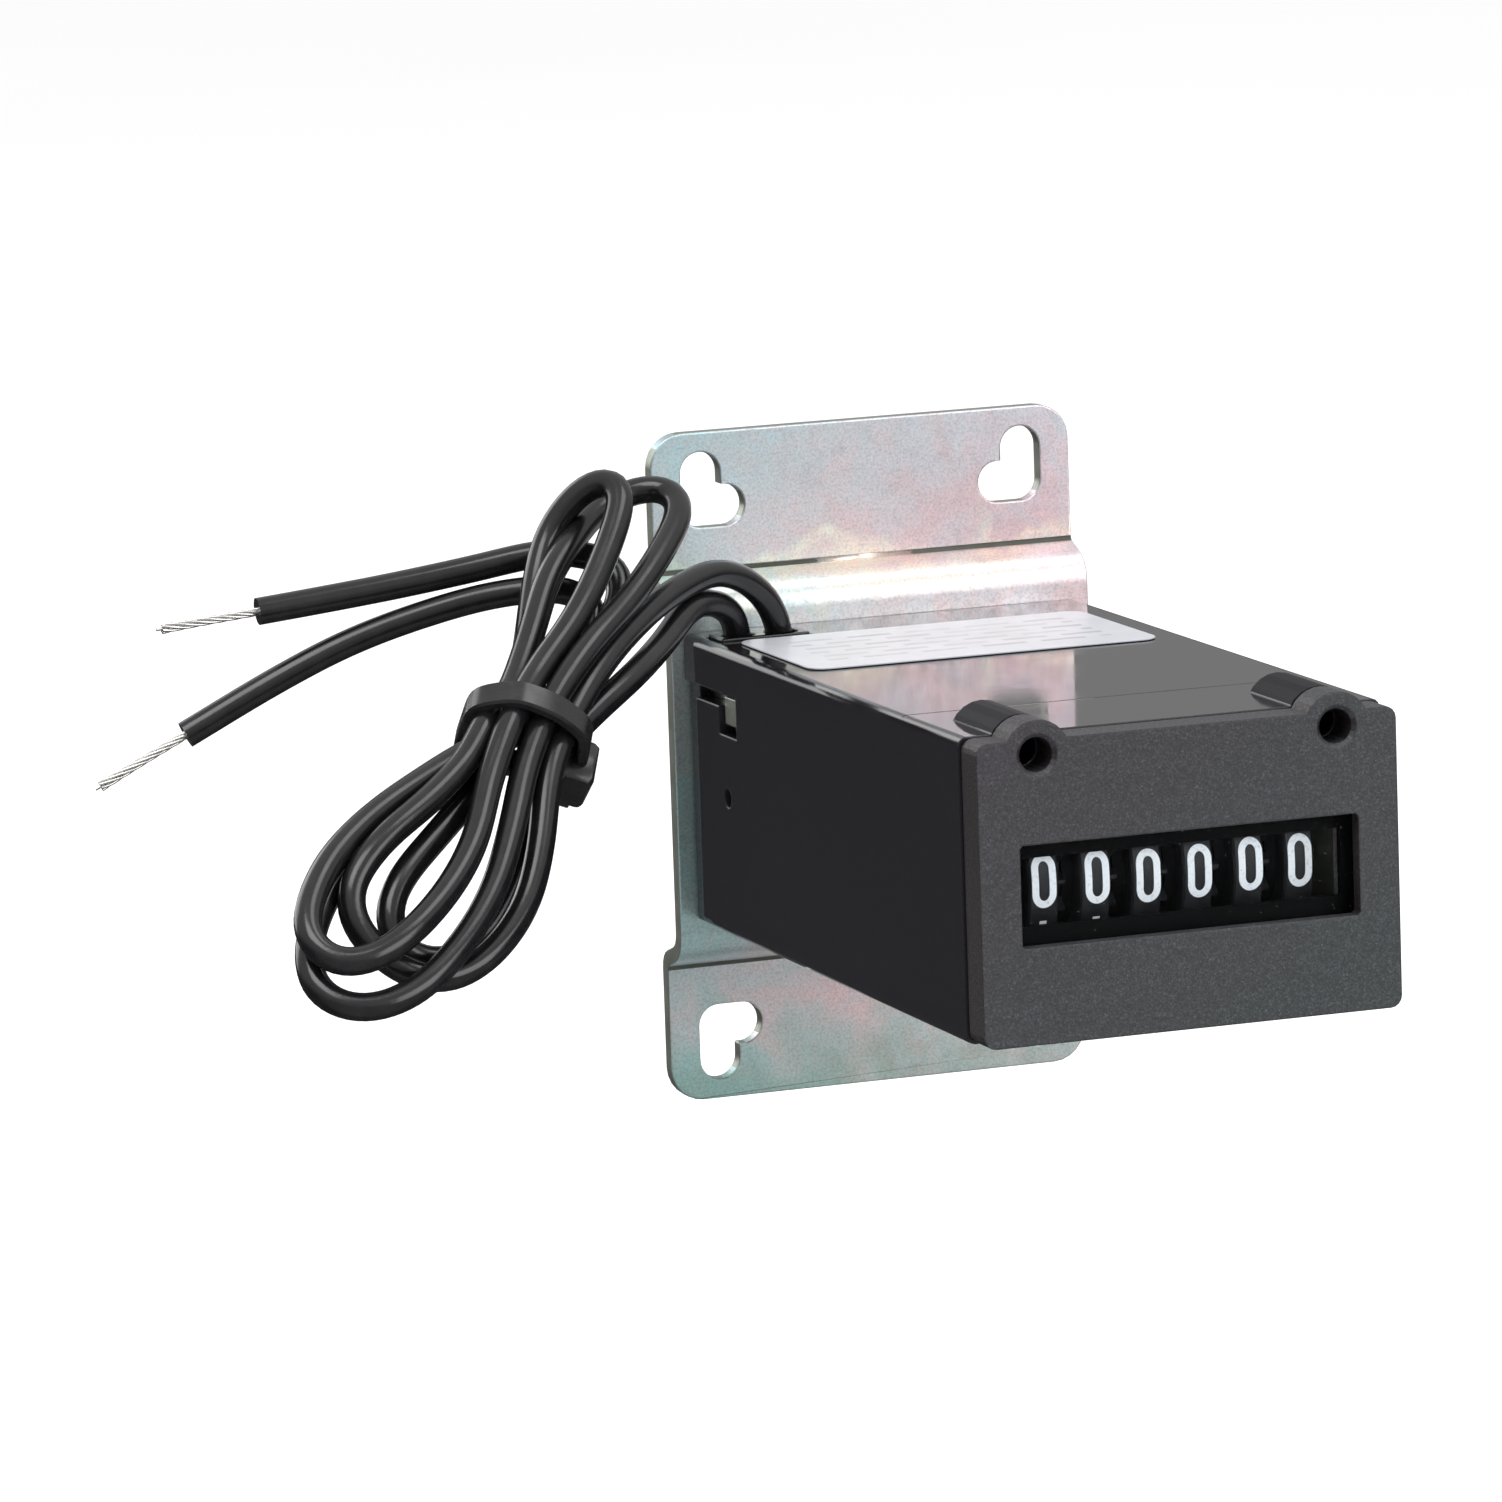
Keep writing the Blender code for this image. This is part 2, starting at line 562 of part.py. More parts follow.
# --- drive magnet ----------------------------------------------------------------------------------
def make_coil(mats):
    front, back = BOBBIN_Y
    flange, tube_r, flange_r = BOBBIN_FLANGE_T, BOBBIN_TUBE_R, BOBBIN_FLANGE_R
    bore = CORE_R + GAP
    profile = [(front, bore), (back, bore), (back, flange_r), (back - flange, flange_r), (back - flange, tube_r),
               (front + flange, tube_r), (front + flange, flange_r), (front, flange_r)]
    lathe("coil_bobbin", mats["nylon"], profile, "Y", 0.0, CORE_Z, 28)
    start, end = front + flange + GAP, back - flange - GAP
    winding = [(start, tube_r + GAP), (end, tube_r + GAP), (end, WINDING_R), (start, WINDING_R)]
    lathe("coil_winding", mats["copper"], winding, "Y", 0.0, CORE_Z, 28)
    rod("iron_core", mats["iron"], "Y", *CORE_Y, CORE_R, 0.0, CORE_Z, 20)
    for i, x in enumerate(TERMINAL_X):
        rod(f"coil_terminal_{i + 1}", mats["brass"], "Z", CORE_Z + flange_r + GAP, TERMINAL_TOP_Z, TERMINAL_R,
            x, back - flange / 2, 8)


def make_yoke(mats):
    iron = mats["iron"]
    foot = YOKE_FLOOR_Z[0] + OVERLAP
    across = (-YOKE_HALF_W, YOKE_HALF_W)
    yoke = box("magnet_yoke", iron, across, (YOKE_FRONT_Y, YOKE_BACK_Y[1]), YOKE_FLOOR_Z)
    join(yoke, box("yoke_back", iron, across, (YOKE_BACK_Y[0], YOKE_BACK_Y[1] - OVERLAP), (foot, YOKE_TOP_Z)))
    for side in (-1, 1):
        outer = YOKE_HALF_W - OVERLAP
        ear_x = sorted((side * outer, side * (outer - YOKE_EAR_T)))
        join(yoke, box(f"yoke_ear_{side}", iron, ear_x, YOKE_EAR_Y, (foot, YOKE_EAR_TOP_Z)))
    cut(yoke, rod("core_hole", iron, "Y", YOKE_BACK_Y[0] - CUT_SPARE, YOKE_BACK_Y[1] + CUT_SPARE,
                  CORE_R + GAP, 0.0, CORE_Z, 20))
    cut(yoke, rod("pin_hole", iron, "X", -YOKE_HALF_W - CUT_SPARE, YOKE_HALF_W + CUT_SPARE, PIN_R + 0.2,
                  PIVOT_Y, PIVOT_Z, 12))
    rod("armature_pin", mats["steel"], "X", -YOKE_HALF_W - 0.6, YOKE_HALF_W + 0.6, PIN_R, PIVOT_Y, PIVOT_Z, 12)


def make_armature(mats):
    """Hinged plate before the pole face, with an arm for the verge and one for the spring."""
    iron = mats["iron"]
    half_w = ARMATURE_HALF_W
    near, far = PIVOT_Y - ARMATURE_T / 2, PIVOT_Y + ARMATURE_T / 2
    arm_y = (near + OVERLAP, far - OVERLAP)
    armature = box("armature", iron, (-half_w, half_w), (near, far), (PIVOT_Z, ARMATURE_TOP))
    join(armature, box("armature_arm", iron, (half_w - 1, VERGE_X[0] - GAP), arm_y, (-ARM_HALF_H, ARM_HALF_H)))
    join(armature, box("spring_arm", iron, (SPRING_X - 1.2, 1 - half_w), arm_y, SPRING_ARM_Z))
    join(armature, rod("knuckle", iron, "X", OVERLAP - half_w, half_w - OVERLAP, KNUCKLE_R, PIVOT_Y, PIVOT_Z))
    cut(armature, rod("knuckle_bore", iron, "X", -half_w - CUT_SPARE, half_w + CUT_SPARE, PIN_R + GAP,
                      PIVOT_Y, PIVOT_Z, 12))


def make_verge(mats):
    """Fork that steps the star wheel: one pallet over the star and one under it."""
    near, far = PIVOT_Y - ARMATURE_T / 2, PIVOT_Y + ARMATURE_T / 2
    top = ROW_Z + STAR_TIP_R + 0.4
    bottom = ROW_Z - STAR_TIP_R - 2.4
    thick = 1.5
    nose, heel, root = WHEEL_Y - 0.2, WHEEL_Y + 1.2, near - 1.4
    outline = [(far, top + 2.2), (far, bottom - thick), (nose - 1.2, bottom - thick), (nose, bottom),
               (heel, bottom), (root, bottom + 0.5), (root, top + 0.6), (heel, top + 0.6),
               (nose, top), (nose - 1.2, top + 1.4), (nose - 1.2, top + 2.2)]
    prism("verge_pallets", mats["nylon"], outline, "X", *VERGE_X, 0.0)


def make_spring(mats):
    """Light tension spring from the post on the side plate back to the armature."""
    start = Vector((SPRING_X, SPRING_POST[0] + 1.2, SPRING_POST[1] - 0.3))
    end = Vector((SPRING_X, PIVOT_Y - ARMATURE_T / 2 - 0.4, 4.9))
    side = Vector((1, 0, 0))
    up = (end - start).normalized().cross(side)
    steps = 10 * SPRING_TURNS
    points = []
    for i in range(steps + 1):
        angle = 2 * math.pi * SPRING_TURNS * i / steps
        points.append(start.lerp(end, i / steps) + (side * math.cos(angle) + up * math.sin(angle)) * SPRING_R)
    tube("return_spring", mats["steel"], points, SPRING_WIRE_R, 1)


# --- leads -----------------------------------------------------------------------------------------
# Routes laid by hand, from the grommet outwards.
LEAD_1_ROUTE = [(-11.4, -10.3, 12.0), (-11.5, -10.6, 13.8), (-12.9, -11.4, 16.3), (-15.3, -12.6, 18.2),
                (-18.2, -14.0, 19.2), (-21.1, -16.0, 19.0), (-24.3, -18.5, 18.1)]
LEAD_2_ROUTE = [(-15.4, -10.3, 12.0), (-15.5, -10.7, 13.6), (-16.6, -11.8, 15.4), (-18.2, -13.0, 16.4),
                (-20.1, -14.5, 16.8), (-22.3, -16.5, 16.2), (-23.9, -18.5, 15.1), (-25.2, -20.0, 13.9)]
FREE_1_ROUTE = [(-31.0, -13.2, 18.5), (-34.4, -12.2, 18.6), (-39.7, -11.5, 18.2), (-45.0, -11.0, 16.8),
                (-50.2, -10.5, 15.4), (-55.9, -10.0, 13.1), (-60.8, -9.5, 10.4), (-65.4, -9.0, 8.2)]
FREE_2_ROUTE = [(-28.7, -11.4, 20.7), (-31.8, -11.3, 21.5), (-35.3, -11.0, 21.2), (-39.7, -10.5, 20.6),
                (-44.6, -10.0, 19.9), (-49.7, -9.5, 19.1), (-54.7, -9.0, 18.7), (-58.6, -9.0, 18.2)]
TIE_AT = Vector((-40.8, -30.1, 10.0))
HANK_AXIS = Vector((-40.4, -38.3, -36.7)).normalized()
HANK_FACE = Vector((0.1, -0.70, 0.70))   # roughly square to the flat of the hank
HANK_OUTLINE = [(-33.6, -1.2), (-31.5, 1.9), (-25.0, 3.2), (-16.0, 3.0), (-7.0, 3.2), (0.0, 4.0), (8.0, 5.4),
                (16.0, 7.4), (23.0, 7.6), (30.0, 6.0), (36.0, 2.4), (39.0, -3.0), (37.6, -8.0),
                (32.0, -10.6), (24.0, -10.9), (16.0, -9.0), (8.0, -6.2), (0.0, -4.0), (-8.0, -5.2),
                (-16.0, -7.2), (-24.0, -7.9), (-30.5, -6.2)]
HANK_LEVELS = ((-3.8, 0.8), (-2.4, 1.0), (2.4, 1.0), (3.8, 0.8))   # depth, and how full the outline is there
TIE_INNER = (9.8, 9.0)       # across and through the waist, inside the band
TIE_CORNER = 3.0
TIE_BAND = (2.4, 1.1)        # width and thickness
# head and tail of the tie: size and middle, each as (along, across, through)
TIE_HEAD = ((4.2, 2.6, 4.0), (1.2, 6.4, -2.6))
TIE_TAIL = ((1.8, 1.0, 2.6), (1.2, 6.7, -5.2))
COIL_LEAD_ROUTES = (
    [(-11.4, -10.3, 11.7), (-11.4, -10.3, 10.5), (-10.7, -11.0, 9.5), (-7.8, -13.4, 9.2), (-5.2, -16.2, 9.5)],
    [(-15.4, -10.3, 11.7), (-15.4, -10.3, 10.8), (-14.4, -10.0, 9.6), (-12.0, -9.3, 8.0), (-7.0, -9.0, 7.0),
     (-1.0, -10.4, 7.9), (3.6, -12.6, 9.4), (5.2, -15.6, 9.6)],
)


def smooth_route(points, step):
    """Read points about one step apart from a centripetal Catmull-Rom curve through the route."""
    route = [Vector(p) for p in points]
    route = [2 * route[0] - route[1]] + route + [2 * route[-1] - route[-2]]
    curve = []
    for i in range(1, len(route) - 2):
        a, b, c, d = route[i - 1:i + 3]
        count = max(1, round((c - b).length / step))
        curve += [catmull(a, b, c, d, j / count) for j in range(count)]
    curve.append(route[-2])
    return curve


def catmull(a, b, c, d, t):
    times = [0.0]
    for p, q in ((a, b), (b, c), (c, d)):
        times.append(times[-1] + math.sqrt((q - p).length))
    t0, t1, t2, t3 = times
    now = t1 + t * (t2 - t1)
    ab = a.lerp(b, (now - t0) / (t1 - t0))
    bc = b.lerp(c, (now - t1) / (t2 - t1))
    cd = c.lerp(d, (now - t2) / (t3 - t2))
    left = ab.lerp(bc, (now - t0) / (t2 - t0))
    right = bc.lerp(cd, (now - t1) / (t3 - t1))
    return left.lerp(right, (now - t1) / (t2 - t1))


def tube(name, mat, points, radius, resolution=2):
    curve = bpy.data.curves.new(name, "CURVE")
    curve.dimensions = "3D"
    curve.bevel_depth = radius * MM
    curve.bevel_resolution = resolution
    curve.render_resolution_u = 0
    curve.use_fill_caps = True
    spline = curve.splines.new("POLY")
    spline.points.add(len(points) - 1)
    for slot, p in zip(spline.points, points):
        slot.co = (p[0] * MM, p[1] * MM, p[2] * MM, 1.0)
    curve.materials.append(mat)
    obj = bpy.data.objects.new(name, curve)
    bpy.context.scene.collection.objects.link(obj)
    return obj


def make_leads(mats):
    pvc = mats["lead"]
    step = 2.4 * LEAD_R
    grommet_x = (LEAD_OPENING_X[0] + GROMMET_GAP, LEAD_OPENING_X[1] - GROMMET_GAP)
    grommet_y = (LEAD_OPENING_Y[0] + GROMMET_GAP, LEAD_OPENING_Y[1] - GROMMET_GAP)
    grommet = box("lead_grommet", mats["tie"], grommet_x, grommet_y, (INNER_Z - GAP, ROOF_Z + 0.3))
    for i, x in enumerate(LEAD_X):
        cut(grommet, rod(f"grommet_hole_{i}", mats["tie"], "Z", 5, 20, LEAD_R + GAP, x, LEAD_Y))
    tube("lead_1", pvc, smooth_route(LEAD_1_ROUTE, step), LEAD_R)
    tube("lead_2", pvc, smooth_route(LEAD_2_ROUTE, step), LEAD_R)
    for i, route in enumerate(COIL_LEAD_ROUTES):
        tube(f"coil_lead_{i + 1}", pvc, smooth_route(route, step), LEAD_R)
    for i, route in enumerate((FREE_1_ROUTE, FREE_2_ROUTE)):
        tube(f"free_end_{i + 1}", pvc, smooth_route(route, step), LEAD_R)
        tip = Vector(route[-1])
        out = (tip - Vector(route[-2])).normalized()
        tube(f"bare_conductor_{i + 1}", mats["strand"], [tip + out * GAP, tip + out * STRIPPED], CONDUCTOR_R)


def at_tie(along, across, through):
    """A point from its distances from the tie: along the hank, across it, and through it to the front."""
    square = HANK_FACE.cross(HANK_AXIS).normalized()
    forward = HANK_AXIS.cross(square).normalized()
    return TIE_AT + HANK_AXIS * along + square * across + forward * through


def add_skin(bm, rings):
    """Faces between each ring of vertices and the next."""
    count = len(rings[0])
    for here, there in zip(rings, rings[1:]):
        for i in range(count):
            j = (i + 1) % count
            bm.faces.new((here[i], here[j], there[j], there[i]))


def make_hank(mats):
    """Outer shape of the folded lead: a waisted outline with round ends, as thick as three strands."""
    closed = [(a, b, 0.0) for a, b in HANK_OUTLINE + HANK_OUTLINE[:1]]
    outline = smooth_route(closed, 3.0)[:-1]
    bm = bmesh.new()
    rings = [[bm.verts.new(at_tie(p.x, p.y * full, depth)) for p in outline] for depth, full in HANK_LEVELS]
    bm.faces.new(rings[0])
    bm.faces.new(rings[-1])
    add_skin(bm, rings)
    finish("lead_hank", bm, mats["lead"], 40.0)


def tie_block(name, mat, size, middle):
    """A block with rounded corners, set square to the hank at the tie."""
    bm = bmesh.new()
    outline = rounded_rect(size[0], size[1], 0.4, 2)
    rings = []
    for depth in (middle[2] - size[2] / 2, middle[2] + size[2] / 2):
        rings.append([bm.verts.new(at_tie(middle[0] + a, middle[1] + b, depth)) for a, b in outline])
    bm.faces.new(rings[0])
    bm.faces.new(rings[1])
    add_skin(bm, rings)
    return finish(name, bm, mat)


def make_tie(mats):
    """Cable tie round the hank's waist, with its head and cut tail."""
    width, thick = TIE_BAND
    inner = rounded_rect(*TIE_INNER, TIE_CORNER, 5)
    outer = rounded_rect(TIE_INNER[0] + 2 * thick, TIE_INNER[1] + 2 * thick, TIE_CORNER + thick, 5)
    bm = bmesh.new()
    rings = []
    for outline, at in ((inner, -width / 2), (outer, -width / 2), (outer, width / 2), (inner, width / 2)):
        rings.append([bm.verts.new(at_tie(at, u, v)) for u, v in outline])
    add_skin(bm, rings + rings[:1])
    tie = finish("cable_tie", bm, mats["tie"], 40.0)
    join(tie, tie_block("tie_head", mats["tie"], *TIE_HEAD), tie_block("tie_tail", mats["tie"], *TIE_TAIL))


def main():
    clear_scene()
    mats = make_materials()
    make_plate(mats)
    make_housing(mats)
    make_bezel(mats)
    make_window(mats)
    make_label(mats)
    for index in range(DIGITS):
        make_number_wheel(mats, index)
    for index in range(DIGITS - 1):
        make_pinion(mats, index)
    make_star_wheel(mats)
    make_shafts(mats)
    make_frame(mats)
    make_coil(mats)
    make_yoke(mats)
    make_armature(mats)
    make_verge(mats)
    make_spring(mats)
    make_leads(mats)
    make_hank(mats)
    make_tie(mats)


main()
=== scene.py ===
"""Looks for the six-digit impulse counter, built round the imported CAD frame.

Metres, +Z up, +X to the reader's right, +Y into the wall; the counter looks out along -Y.  MM turns
the few sizes that are easier to read in millimetres into metres.
"""
import json
import math

import bmesh
import bpy
from mathutils import Matrix, Vector

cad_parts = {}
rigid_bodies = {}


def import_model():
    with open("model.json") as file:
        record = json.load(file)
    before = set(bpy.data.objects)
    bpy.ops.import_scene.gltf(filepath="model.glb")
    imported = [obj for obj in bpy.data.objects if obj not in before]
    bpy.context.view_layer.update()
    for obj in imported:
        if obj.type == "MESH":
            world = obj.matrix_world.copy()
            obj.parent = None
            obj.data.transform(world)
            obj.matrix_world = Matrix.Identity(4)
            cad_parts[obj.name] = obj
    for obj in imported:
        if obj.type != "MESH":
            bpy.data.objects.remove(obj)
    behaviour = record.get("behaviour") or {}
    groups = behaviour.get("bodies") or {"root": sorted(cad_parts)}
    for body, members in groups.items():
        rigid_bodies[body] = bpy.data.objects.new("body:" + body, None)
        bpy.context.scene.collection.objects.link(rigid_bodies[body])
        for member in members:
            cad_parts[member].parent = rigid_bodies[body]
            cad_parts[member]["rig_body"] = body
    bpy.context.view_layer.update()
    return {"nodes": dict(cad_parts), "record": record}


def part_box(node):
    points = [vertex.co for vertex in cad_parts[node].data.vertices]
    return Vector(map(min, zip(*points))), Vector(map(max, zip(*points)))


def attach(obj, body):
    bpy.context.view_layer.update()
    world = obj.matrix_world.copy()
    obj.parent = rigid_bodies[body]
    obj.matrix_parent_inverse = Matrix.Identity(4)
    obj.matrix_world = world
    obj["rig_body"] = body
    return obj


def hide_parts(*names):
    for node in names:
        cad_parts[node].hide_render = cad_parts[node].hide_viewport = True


MM = 0.001
BASE = "base"

# --- camera ----------------------------------------------------------------------------------------
CAMERA_AT = (-0.289701, -0.760189, 0.134558)
CAMERA_TURN = (1.407027, 0.033765, -0.357282)
CAMERA_LENS = 222.041
SENSOR = 36.0
FLOOR_Z = -0.12
ROOF_Z = 12.7 * MM           # top of the housing, below its two screw bosses

# --- leads -----------------------------------------------------------------------------------------
LEAD_D = 2.4 * MM
STRAND_D = 0.254 * MM
STRAND_LAY = 7.5 * MM        # length of one turn of the outer strands
STRIPPED = 9.0 * MM
# Routes in millimetres, from the grommet to the end of the insulation.
LEAD_ROUTES = (
    # lead 1: over the roof, through the tie, three runs round the hank, out to the lower free end
    ((-11.4, -10.3, 12), (-12, -10.7, 14.8), (-15.3, -12.7, 18.1), (-18.6, -14.4, 19.3),
     (-24.1, -18.3, 18.5), (-28.9, -22.6, 16.9), (-33.5, -26.9, 14.6), (-37.9, -31.1, 11.2),
     (-41.7, -35.1, 6.7), (-44.1, -39.2, 1.3), (-46.8, -42.4, -3.1), (-51.1, -44.9, -6.5),
     (-54.5, -45.7, -7.8), (-57.2, -45.6, -7.5), (-60.3, -44.6, -5.4), (-62.2, -43.2, -2.4),
     (-61.8, -42.3, 0.1), (-58.6, -40.6, 3.2), (-53, -37.9, 6.1), (-48.3, -34.5, 8.9),
     (-46.2, -32.4, 11.1), (-42.8, -28.7, 12.7), (-39.1, -23.9, 16.6), (-35.8, -19.6, 20.8),
     (-32.8, -16.8, 23.2), (-29, -13.1, 25.3), (-26.2, -12, 26.3), (-23.8, -12.3, 26.9),
     (-22.2, -13.5, 26.6), (-22.3, -15.8, 25.3), (-25.7, -20.1, 22.3), (-30.4, -24.4, 19),
     (-35.5, -28.5, 16), (-40.3, -32.2, 12.1), (-43.9, -35.7, 7.8), (-46.8, -40, 3.3),
     (-50.1, -44.1, -1.2), (-54.6, -47.5, -5.2), (-59.1, -49.5, -7.9), (-62.6, -49.7, -8.8),
     (-65.1, -49, -8.5), (-66.8, -47.5, -7.2), (-66.7, -45.2, -4.8), (-63.6, -40.8, -1),
     (-58.8, -37, 2.3), (-53.1, -33.4, 4.7), (-47.1, -29.2, 7.1), (-43.7, -26.6, 8.3),
     (-38.7, -24.9, 10.3), (-34.2, -20.9, 13), (-30.8, -16.9, 16.4), (-30.6, -15.6, 18),
     (-32.3, -14.1, 18.9), (-37.8, -12.2, 18.7), (-44.5, -11.1, 17.3), (-51.1, -10.4, 15.3),
     (-57.5, -9.8, 12.5), (-65.5, -9, 8.4)),
    # lead 2: the same hank, one size smaller, out to the upper free end
    ((-15.4, -10.3, 12), (-15.8, -11.1, 14.6), (-18.5, -13.3, 16.5), (-21.4, -15.7, 16.8),
     (-25.9, -20.4, 14.5), (-30.3, -25, 12.7), (-35.6, -28.6, 10.2), (-39.1, -30.9, 8),
     (-42.8, -34.9, 3.1), (-46.1, -38.7, -1.8), (-50.3, -41.8, -5.6), (-54, -43.3, -6.8),
     (-56.4, -43.5, -6.5), (-58.4, -43, -5), (-58.7, -42.1, -2.8), (-57.1, -40.6, -0.3),
     (-52.3, -37.3, 3), (-47.3, -33, 5.8), (-44.7, -30.2, 7.3), (-42.2, -27.1, 11), (-39, -22.2, 14.9),
     (-36.4, -17.5, 19.6), (-34.4, -15.1, 23.3), (-32.9, -15, 25.7), (-30.3, -15.8, 28.2),
     (-28.7, -17.2, 28.5), (-28.6, -18.8, 27.3), (-31.6, -22.4, 22.8), (-35.7, -25.9, 18.2),
     (-40.6, -29.6, 14.4), (-44.4, -33.8, 11.4), (-47.8, -37.5, 7), (-50.7, -41.7, 2.8),
     (-54.8, -45.7, -0.7), (-59.7, -48.7, -3.6), (-62.9, -49.3, -4.9), (-65.4, -48.7, -4.9),
     (-67, -47.3, -3.5), (-66.9, -45.7, -1.9), (-63.7, -41.5, 1.7), (-58.8, -37.8, 4.6),
     (-53.1, -34.6, 6.8), (-47, -31.5, 8.7), (-43.2, -31.2, 9.7), (-39.3, -28.5, 11.1),
     (-35.2, -24.3, 13.6), (-31, -20.2, 16.2), (-28.4, -17.1, 18.5), (-28, -15.3, 20.4),
     (-29.8, -13.6, 21.6), (-33.2, -12, 21.9), (-39.9, -10.7, 20.8), (-46.8, -9.9, 19.8),
     (-53.7, -9.3, 19), (-58.6, -9, 18.5)),
)
TIE_AT = Vector((-41.6, -30.7, 9.1)) * MM
HANK_AXIS = Vector((-40.4, -38.3, -36.7)).normalized()     # from its upper end to its lower end
HANK_FACE = Vector((0.1, -0.70, 0.70))                     # the way that its flat side looks
TIE_TILT = 14.0              # degrees that the band leans from square across the hank
TIE_BAND = (2.4 * MM, 1.0 * MM)      # width and thickness
# Blocks of the tie: size along the hank, across it and through it.
HEAD_SIZE = (4.4 * MM, 3.4 * MM, 4.2 * MM)
TAIL_SIZE = (2.2 * MM, 0.9 * MM, 2.4 * MM)
RIDGE_SIZE = (1.7 * MM, 1.15 * MM, 0.22 * MM)
RIDGES = 4
RIDGE_PITCH = 0.5 * MM

# --- number wheels ---------------------------------------------------------------------------------
DIGITS = 6
RIM_HALF = 1.3 * MM
RIM_EDGE = 0.18 * MM         # chamfer on both edges of the rim
RIM_SIDE = 1.1 * MM          # depth of the rim at its sides, and where it meets the web
RIM_FOOT = 1.3 * MM
WEB_INSET = 0.55 * MM
BORE_R = 1.4 * MM
LOCK_R = 6.0 * MM            # locking ring, on the side away from the gear
LOCK_REACH = 0.45 * MM
GEAR_REACH = 1.2 * MM        # how far a wheel's gear stands beside its rim
GEAR_TEETH = 20
GEAR_ROOT_R = 6.4 * MM
GEAR_TIP_R = 7.6 * MM
TOOTH_SHAPE = (0.0, 0.0, 0.0, 0.55, 1.0, 1.0, 0.55, 0.0)     # from root (0) to tip (1) over one pitch
TOOTH_MIDDLE = 4.5           # place of a tooth's middle in that shape
OVERLAP = 0.1 * MM           # how far the rings of one wheel run into each other
STROKE = 0.6 * MM
DIGIT_W = 2.13 * MM
DIGIT_H = 4.5 * MM
INK = 0.03 * MM
WRAP_STEP = 0.25 * MM        # longest straight piece of a figure's stroke round the rim
# How far each wheel's figure stands above the axis and right of the rim's middle, units wheel first.
FIGURE_UP = [0.07 * MM, 0.18 * MM, 0.02 * MM, 0.05 * MM, 0.39 * MM, 0.47 * MM]
FIGURE_RIGHT = [0.04 * MM, 0.17 * MM, 0.17 * MM, 0.15 * MM, 0.17 * MM, 0.02 * MM]

# --- looks -----------------------------------------------------------------------------------------
EDGE_ROUND = 0.25 * MM       # shading only, on the housing and the bezel
MIX_FACTOR, MIX_A, MIX_B = 0, 6, 7     # sockets of a colour Mix node
MIX_COLOR = 2
# Name, place, side and watts of each soft box; all of them face the counter.
SOFT_BOXES = (
    ("front_right", (0.75, -1.25, 0.45), 0.9, 9.0),
    ("overhead", (-0.45, -0.45, 1.1), 0.7, 7.5),
    ("tie_sheen", (0.42, -0.25, 0.95), 0.45, 2.0),
    ("behind", (-0.5, 1.0, 0.35), 0.8, 4.0),
)
SOFT_BOX_AIM = Vector((-0.01, -0.04, 0.0))


# --- node helpers ----------------------------------------------------------------------------------
def fill_ramp(node, stops):
    """Set a colour ramp to the given (position, grey or RGB) stops."""
    elements = node.color_ramp.elements
    elements.remove(elements[1])
    for i, (position, value) in enumerate(stops):
        rgb = (value,) * 3 if isinstance(value, (int, float)) else value
        element = elements.new(position) if i else elements[0]
        element.position = position
        element.color = (*rgb, 1.0)


def add_mix(tree, factor, a, b, blend):
    """A colour Mix node between sockets, greys or RGB values; gives its result."""
    node = tree.nodes.new("ShaderNodeMix")
    node.data_type = "RGBA"
    node.blend_type = blend
    for index, value in ((MIX_FACTOR, factor), (MIX_A, a), (MIX_B, b)):
        socket = node.inputs[index]
        if isinstance(value, (int, float)):
            socket.default_value = value
        elif isinstance(value, tuple):
            socket.default_value = (*value, 1.0)
        else:
            tree.links.new(value, socket)
    return node.outputs[MIX_COLOR]


